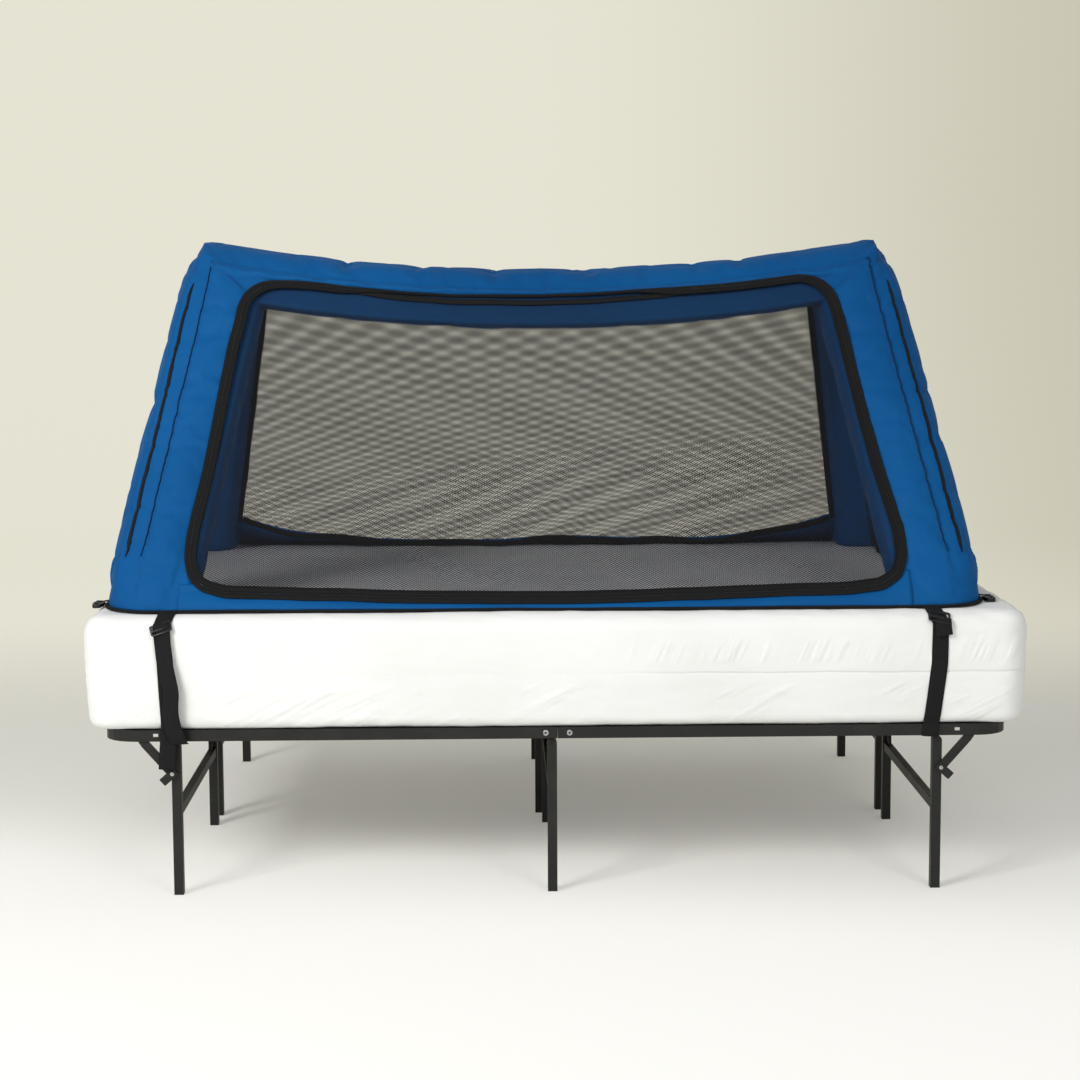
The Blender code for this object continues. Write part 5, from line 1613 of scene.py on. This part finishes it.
def makeFloorSheet():
    outline = footOutline(-floorSheet["inset"], floorSheet["step"])
    layers = []
    for k in range(floorSheet["rings"] + 1):
        share = 1 - (k / floorSheet["rings"]) ** 0.8 * 0.985
        ring = outline * 0 + np.array(footMiddle) + (outline - np.array(footMiddle)) * share
        heights = []
        for x, y in ring:
            gap = min(tent["length"] / 2 - abs(x - footMiddle[0]), tent["depth"] / 2 - abs(y - footMiddle[1]))
            slack = (0.0030 * wave(x, y, 0, 5, 3.9) + 0.0022 * abs(wave(x * 0.6 + y, y, 0, 13, 1.9))
                     + 0.0010 * wave(x, y, 0, 34, 7.7))
            inside = ease(gap - floorSheet["inset"], 0.0, 0.12)
            heights.append(floorSheet["bottom"] + 0.0012 + max(slack, -0.0004) * inside)
        layers.append(np.column_stack([ring, heights]))
    top = np.array(layers)
    under = top[::-1] - np.array((0, 0, floorSheet["thickness"]))
    shell = np.concatenate([under, top], axis=0)
    mesh = gridMesh("tentFloorSheet", shell, lambda i, j: (j * 0.02, i * 0.02), loopAcross=True, capped=True)
    item = placed(link(turnedOut(mesh), "tentFloorSheet", floorCloth), "floor_fabric")
    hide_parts("floor_sheet")


makeFloorSheet()
print("hem and floor sheet ready")

# Moulded pieces: a plan outline with holes, given thickness and rounded edges


def moulded(name, outlines, thickness, place, bevel):
    # outlines are lists of (a, b), the first one outside; place turns (a, b, c) arrays into 3D points
    curve = bpy.data.curves.new(name, "CURVE")
    curve.dimensions = "2D"
    curve.fill_mode = "BOTH"
    curve.extrude = thickness / 2 - bevel
    curve.bevel_depth = bevel
    curve.bevel_resolution = 1
    curve.offset = -bevel
    for outline in outlines:
        spline = curve.splines.new("POLY")
        spline.points.add(len(outline) - 1)
        for point, (a, b) in zip(spline.points, outline):
            point.co = (a, b, 0, 1)
        spline.use_cyclic_u = True
    holder = bpy.data.objects.new(name + "Outline", curve)
    bpy.context.scene.collection.objects.link(holder)
    mesh = bpy.data.meshes.new_from_object(holder.evaluated_get(bpy.context.evaluated_depsgraph_get()))
    bpy.data.objects.remove(holder, do_unlink=True)
    mesh.name = name

    def shape(bm):
        bmesh.ops.remove_doubles(bm, verts=bm.verts, dist=0.00001)
        for vert in bm.verts:
            vert.co = place(*vert.co)

    return turnedOut(mesh, shape)


def roundedBox(low, high, radius, steps=4):
    middle = ((low[0] + high[0]) / 2, (low[1] + high[1]) / 2)
    return roundedCorners((high[0] - low[0]) / 2, (high[1] - low[1]) / 2, radius, steps, middle)


def makeCornerBuckle(way, word):
    x = buckleMiddle(way)
    length, half = cornerBuckle["length"], cornerBuckle["width"] / 2
    shoulder = -length * 0.55
    outside = [(-half, -0.002), (-half, shoulder + 0.004), (-half * 0.93, shoulder), (-half * 0.72, -length + 0.0035),
               (-half * 0.55, -length), (half * 0.55, -length), (half * 0.72, -length + 0.0035), (half * 0.93, shoulder),
               (half, shoulder + 0.004), (half, -0.002), (half * 0.9, 0), (-half * 0.9, 0)]
    slot = roundedBox((-half * 0.72, -0.0095), (half * 0.72, -0.0048), 0.0012, 2)
    window = roundedBox((-half * 0.42, -length + 0.0055), (half * 0.42, shoulder + 0.003), 0.0028, 4)
    lift = cornerBuckle["bottom"] + cornerBuckle["thickness"] / 2

    def place(a, b, c):
        crown = 0.0010 * (1 - (a / half) ** 2) * (1 if c > 0 else 0)
        return (x + a, cornerBuckle["backY"] + b, lift + c + crown)

    def rib(offset):
        outline = roundedBox((-half * 0.62, -0.0006), (half * 0.62, 0.0006), 0.0004, 1)
        return moulded("buckleRib", [outline], 0.0010,
                       lambda a, b, c: (x + a, cornerBuckle["backY"] + offset + b, lift + 0.0046 + c), 0.0003)

    meshes = [moulded("buckleBody" + word, [outside, slot, window], cornerBuckle["thickness"] - 0.001, place, 0.0011)]
    meshes += [rib(-0.0135 - 0.0028 * k) for k in range(4)]
    placed(joined("cornerBuckleMoulding" + word.capitalize(), meshes, moulding), "black_plastic", "corner_buckle_" + word,
           body="corner_buckle_" + word)


makeCornerBuckle(-1, "left")
makeCornerBuckle(1, "right")

# Straps from the hem over the mattress edge to the rail, with their ladder locks

strap = {"width": 0.0345, "thickness": 0.0017, "lift": 0.0022, "rail": 0.685, "railTop": 0.356, "railBottom": 0.332}
strapWays = {(-1, -1): ((-0.8135, 0.605), (-0.8235, 0.575), (-0.817, 0.503), (-0.8115, 0.372), (-0.8190, 0.274)),
             (-1, 1): ((0.7870, 0.605), (0.8010, 0.575), (0.8000, 0.487), (0.7865, 0.368), (0.784, 0.325)),
             (1, -1): ((-0.822, 0.605), (-0.820, 0.575), (-0.818, 0.500), (-0.819, 0.368), (-0.820, 0.325)),
             (1, 1): ((0.794, 0.605), (0.792, 0.575), (0.793, 0.500), (0.795, 0.368), (0.794, 0.325))}


def strapX(unit, way, z):
    shifts = strapWays[unit, way]
    return float(np.interp(-z, [-point[1] for point in shifts], [point[0] for point in shifts]))


def strapRun(unit, way):
    # from the hem over the edge, down the cover and under the rail
    lift, rail = strap["lift"], strap["rail"]
    foot = abs(tent["frontY"] if unit < 0 else tent["frontY"] + tent["depth"])
    edge, radius = -mattress["width"] / 2 + mattress["edge"], mattress["edge"] + lift
    path = [(-foot - 0.001, 0.6035), (edge, mattress["top"] + lift)]
    for k in range(13):
        angle = math.radians(90 + 90 * k / 12)
        path.append((edge + radius * math.cos(angle), mattress["top"] - mattress["edge"] + radius * math.sin(angle)))
    face = -mattress["width"] / 2 - lift
    path += [(face + 0.0015, 0.50), (face + 0.0035, 0.42), (face + 0.006, mattress["bottom"] + 0.025)]
    if (unit, way) == (-1, -1):
        path += [(face + 0.007, 0.352), (face + 0.008, 0.310), (face + 0.010, 0.272)]
    else:
        path += [(-rail - lift, strap["railTop"] - 0.003), (-rail - lift, strap["railBottom"] - lift),
                 (-rail + 0.0095, strap["railBottom"] - lift)]
    flat = smoothed(evenly(np.array(path), 0.0045), 3, False)
    return np.array([(strapX(unit, way, z), -unit * y, z) for y, z in flat])


# the loop of the front left strap below its lock: x from the lock's, y from the face and z
looseTurns = ((0.001, -0.003, 0.585), (0.002, 0.001, 0.570), (0.004, 0.003, 0.530), (0.0075, 0.006, 0.500),
              (0.0145, 0.009, 0.468), (0.0205, 0.0095, 0.440), (0.0175, 0.008, 0.418), (0.0165, 0.006, 0.395),
              (0.0215, 0.003, 0.362), (0.0300, 0.001, 0.342), (0.0330, -0.004, 0.3285))
tailTurns = ((0, -0.004, 0.583), (0, 0.0015, 0.572), (0.001, 0.0022, 0.560), (0.003, 0.0035, 0.548))


def makeStrap(unit, way):
    word, node = cornerWords(unit, way)
    path = strapRun(unit, way)
    ripple = np.array([0.0007 * wave(*p, 16, unit + way * 2) for p in path])
    path[:, 1] += unit * np.abs(ripple)
    cup = np.array([0.05 * math.sin(p[2] * 40 + way) for p in path])
    meshes = [webbingAlong("strapBody", path, (1, 0, 0), strap["width"], strap["thickness"], twist=cup)]
    x, near = strapX(unit, way, 0.57), mattress["width"] / 2 + strap["lift"]
    if (unit, way) == (-1, -1):
        turns = [(x + a, unit * (near + 0.0032 + b), z) for a, b, z in looseTurns]
        loose = bent(turns + [(x + 0.0320, unit * (strap["rail"] - 0.002), 0.3275)], 0.004, 7)
        lean = np.interp(-loose[:, 2], [-0.60, -0.53, -0.45, -0.40, -0.35], [0.0, 0.10, 0.28, 0.20, 0.0])
        meshes.append(webbingAlong("strapLoop", loose, (1, 0, 0), strap["width"], strap["thickness"], twist=lean))
    else:
        # the tail that comes back out of the lock and ends just below it
        tail = bent([(x + way * 0.004 + a, unit * (near + 0.0045 + b), z) for a, b, z in tailTurns], 0.002, 3)
        meshes.append(webbingAlong("strapTail", tail, (1, 0, way * 0.06), strap["width"] * 0.99, strap["thickness"]))
    placed(joined(word + "StrapWebbing", meshes, strapWeb), "black_webbing", "strap_" + node)
    paths = []
    for k in (1, 3, 5):
        middle = path[k] + np.array((0, 0, strap["thickness"] * 0.66))
        line = np.array([middle + np.array((s, 0, 0)) for s in np.linspace(-0.0135, 0.0135, 12)])
        run, up = (np.broadcast_to(np.array(each), line.shape) for each in ((1.0, 0, 0), (0, 0.2 * unit, 1.0)))
        paths.append((line, run, up, False))
    stitch = pill("strapStitch", 0.0028, 0.0008, 0.0006)
    setOut(word + "StrapStitching", paths, stitch, 0.0036, moulding, "black_webbing", 0.1)


lock = {"width": 0.045, "height": 0.021, "thickness": 0.0058, "bar": 0.0042}
# each lock's turn in degrees, x and z
lockLean = {(-1, -1): (-18, -0.8235, 0.5745), (-1, 1): (10, 0.7985, 0.5860), (1, -1): (5, -0.8205, 0.5650),
            (1, 1): (-6, 0.7925, 0.5650)}


def makeLock(unit, way):
    word, node = cornerWords(unit, way)
    turn, x, z = lockLean[unit, way]
    cos, sin = math.cos(math.radians(-turn)), math.sin(math.radians(-turn))
    halfW, halfH = lock["width"] / 2, lock["height"] / 2
    outside = roundedBox((-halfW, -halfH), (halfW, halfH), 0.0032)
    inner = halfW - lock["bar"]
    upper = roundedBox((-inner, 0.0010), (inner, halfH - 0.0034), 0.0010, 2)
    lower = roundedBox((-inner, -halfH + 0.0032), (inner, -0.0028), 0.0010, 2)
    edgeDepth = mattress["width"] / 2 + strap["lift"] + strap["thickness"] + lock["thickness"] / 2 + 0.0004

    def place(a, b, c):
        bow = 0.0024 * (1 - (a / halfW) ** 2) - 0.0008
        lip = 0.0022 * max(-b / halfH, 0) ** 2
        across, up = a * cos - b * sin, a * sin + b * cos
        level = z + up
        over = max(level - (mattress["top"] - mattress["edge"]), 0) / mattress["edge"]
        sink = mattress["edge"] * (1 - math.sqrt(max(1 - min(over, 1) ** 2, 0)))
        return (x + across, unit * (edgeDepth + c + bow + lip - sink), level)

    outline = roundedBox((-halfW * 0.86, -0.0012), (halfW * 0.86, 0.0012), 0.0007, 2)
    grip = moulded("lockGrip", [outline], 0.0022,
                   lambda a, b, c: place(a, b - halfH + 0.0012, c + lock["thickness"] * 0.42), 0.0005)
    meshes = [moulded("lockFrame", [outside, upper, lower], lock["thickness"], place, 0.0011), grip]
    placed(joined(word + "LadderLock", meshes, moulding), "black_plastic", "ladder_lock_" + node)


for unit, way in corners:
    makeStrap(unit, way)
    makeLock(unit, way)
print("straps and buckles ready")

# Zip sliders: a body with two jaws, a bridge and a hanging puller

slider = {"length": 0.0130, "width": 0.0092, "below": 0.0075}


def makeSlider(word):
    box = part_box("zip_slider_" + word)
    x = (box[0][0] + box[1][0]) / 2
    s = x - tent["middleX"]
    out = facing[-1]
    up = np.array((0, tent["faceLean"], 1)) / slope
    tilt = float(doorHigh(s + 0.02) - doorHigh(s - 0.02)) / 0.04
    along = unitVector(np.array((1.0, tent["faceLean"] * tilt, tilt)))
    z = float(doorHigh(s)) - slider["below"]
    base = np.array((x, faceY(-1, z) - (zipBand["stand"] + 0.0012) * slope, z))

    def put(a, b, c):
        return tuple(base + along * a + up * b + out * c)

    half, wide = slider["length"] / 2, slider["width"] / 2
    plan = [(-half, -wide * 0.55), (-half * 0.35, -wide), (half, -wide * 0.92), (half, wide * 0.92), (-half * 0.35, wide),
            (-half, wide * 0.55)]
    meshes = [moulded("sliderTop", [plan], 0.0016, lambda a, b, c: put(a, b, c + 0.0030), 0.0004),
              moulded("sliderBase", [plan], 0.0014, lambda a, b, c: put(a, b, c + 0.0002), 0.0003)]
    bridge = bent([put(half * a, 0, c) for a, c in ((-0.75, 0.0036), (-0.5, 0.0056), (0, 0.0064), (0.45, 0.0056),
                                                    (0.7, 0.0036))], 0.0008, 3)
    meshes.append(webbingAlong("sliderBridge", bridge, up, 0.0022, 0.0011))
    tab = bent([put(0, -0.0008, 0.0052), put(0.0010, -0.0040, 0.0048), put(0.0040, -0.0075, 0.0040),
                put(0.0100, -0.0090, 0.0034), put(0.0180, -0.0094, 0.0030), put(0.0215, -0.0092, 0.0030)], 0.0010, 5)
    widths = np.interp(np.linspace(0, 1, len(tab)), [0, 0.2, 0.5, 0.9, 1.0], [0.0026, 0.0034, 0.0058, 0.0062, 0.0040])
    outward = np.broadcast_to(out, tab.shape)
    side = unitVector(np.cross(runAlong(tab), outward))
    meshes.append(tape("sliderTab", tab, side, outward, widths, 0.0018, crown=0.0003))
    placed(joined("zipSliderMoulding" + word.capitalize(), meshes, moulding), "black_plastic", "zip_slider_" + word,
           body="zip_slider_" + word)


makeSlider("left")
makeSlider("right")
print("sliders ready")

# Locking braces: folded channel arms with a release tab, pinned to the legs and running up behind the rail's face

brace = {"pinX": 0.0075, "pinZ": 0.2620, "reachX": 0.0690, "reachZ": 0.0790, "width": 0.0165, "plate": 0.0022,
         "depth": 0.0080, "tab": 0.0285, "tabWidth": 0.0180, "legX": 0.802, "near": 0.0105}


def makeBrace(unit, side, row, legY):
    word, node = cornerWords(unit, side)
    title = word[0].upper() + word[1:] + row.capitalize()
    pin = np.array((side * (brace["legX"] + brace["pinX"]), brace["pinZ"]))
    along = unitVector(np.array((side * brace["reachX"], brace["reachZ"])))
    length = math.hypot(brace["reachX"], brace["reachZ"])
    across = np.array((side * along[1], -side * along[0]))
    across *= -np.sign(across[1])
    near = legY + brace["near"]

    def place(depth):
        def put(a, b, c):
            x, z = pin + along * a + across * b
            return (x, unit * (near + depth + c), z)
        return put

    half = brace["width"] / 2
    face = [(-0.0095, -half), (-0.0095, half), (length * 0.90, half), (length, half * 0.35), (length, -half)]
    meshes = [moulded("braceFace", [face], brace["plate"], place(brace["depth"] - 0.0036), 0.0005)]
    for edge in (-half, half):
        lip = [(-0.0080, edge - 0.0010), (length * 0.84, edge - 0.0010), (length * 0.84, edge + 0.0010), (-0.0080, edge + 0.0010)]
        meshes.append(moulded("braceLip", [lip], brace["depth"] - 0.0026, place((brace["depth"] - 0.0026) / 2), 0.0005))
    wide = brace["tabWidth"] / 2
    tab = roundedBox((-wide, -0.004), (wide, brace["tab"]), 0.0016, 2)
    meshes.append(moulded("braceTab", [tab], brace["plate"], place(brace["depth"] - 0.0012), 0.0005))
    head = [(0.0042 * math.cos(2 * math.pi * k / 20), 0.0042 * math.sin(2 * math.pi * k / 20)) for k in range(20)]
    shank = [(x * 0.62, y * 0.62) for x, y in head]
    pins = [moulded("pinHead", [head], 0.0016, place(brace["depth"] + 0.0004), 0.0005),
            moulded("pinShank", [shank], 0.0120, place(0.0010), 0.0003)]
    body = "brace_" + node + "_pair"
    placed(joined("brace" + title, meshes, powderCoat), "frame_steel", "brace_" + node + "_" + row, body=body)
    placed(joined("bracePin" + title, pins, rivetZinc), "rivet_steel", body=body)


for unit, side in corners:
    makeBrace(unit, side, "outer", 0.665)
    makeBrace(unit, side, "inner", 0.050)

# Fold rivets: a rolled ring with a black disc in its middle that paints the shade of the hollow, on both long rails

rivet = {"x": 0.025, "z": 0.3445, "faceY": 0.685, "radius": 0.0060, "hollow": 0.0027, "stand": 0.0014, "around": 28}


def rivetPart(name, unit, side, profile, capped=False):
    # rings of (radius, height) round one rivet's middle
    turns = [2 * math.pi * k / rivet["around"] for k in range(rivet["around"])]
    rows = [[(side * rivet["x"] + radius * math.cos(turn), unit * (rivet["faceY"] + rivet["stand"] + lift),
              rivet["z"] + radius * math.sin(turn)) for turn in turns] for radius, lift in profile]
    return gridMesh(name, np.array(rows), lambda i, j: (i * 0.001, j * 0.001), loopAcross=True, capped=capped)


def makeRivets():
    hollow, radius = rivet["hollow"], rivet["radius"]
    rolled = [(hollow * 0.9, -0.0004), (hollow, 0.0010), (hollow * 1.25, 0.0016), (radius * 0.80, 0.0015),
              (radius * 0.96, 0.0009), (radius, 0.0001)]
    # painted shade: a black disc sits in the rivet's hollow in place of its dark depth
    hollowShadeProfile = [(hollow, 0.0001), (hollow * 0.6, 0.0002), (hollow * 0.15, 0.0003)]
    rings = [rivetPart("rivetRing", *corner, rolled) for corner in corners]
    hollowShadeDiscs = [rivetPart("rivetHollowShadeDisc", *corner, hollowShadeProfile, capped=True) for corner in corners]
    for name, meshes, finish in (("foldRivetRings", rings, rivetZinc), ("foldRivetMiddles", hollowShadeDiscs, moulding)):
        item = joined(name, meshes, finish)
        turnedOut(item.data)
        placed(item, "rivet_steel")


makeRivets()
print("braces and rivets ready")

# Finishes for the CAD parts whose shape stays

kept = (("platform_", powderCoat), ("leg_frame_", powderCoat), ("fold_hinge_", rivetZinc), ("mattress_core", foam))
for name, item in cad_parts.items():
    for start, finish in kept:
        if name.startswith(start):
            for place in item.material_slots:
                place.material = finish.material
print("frame finished")
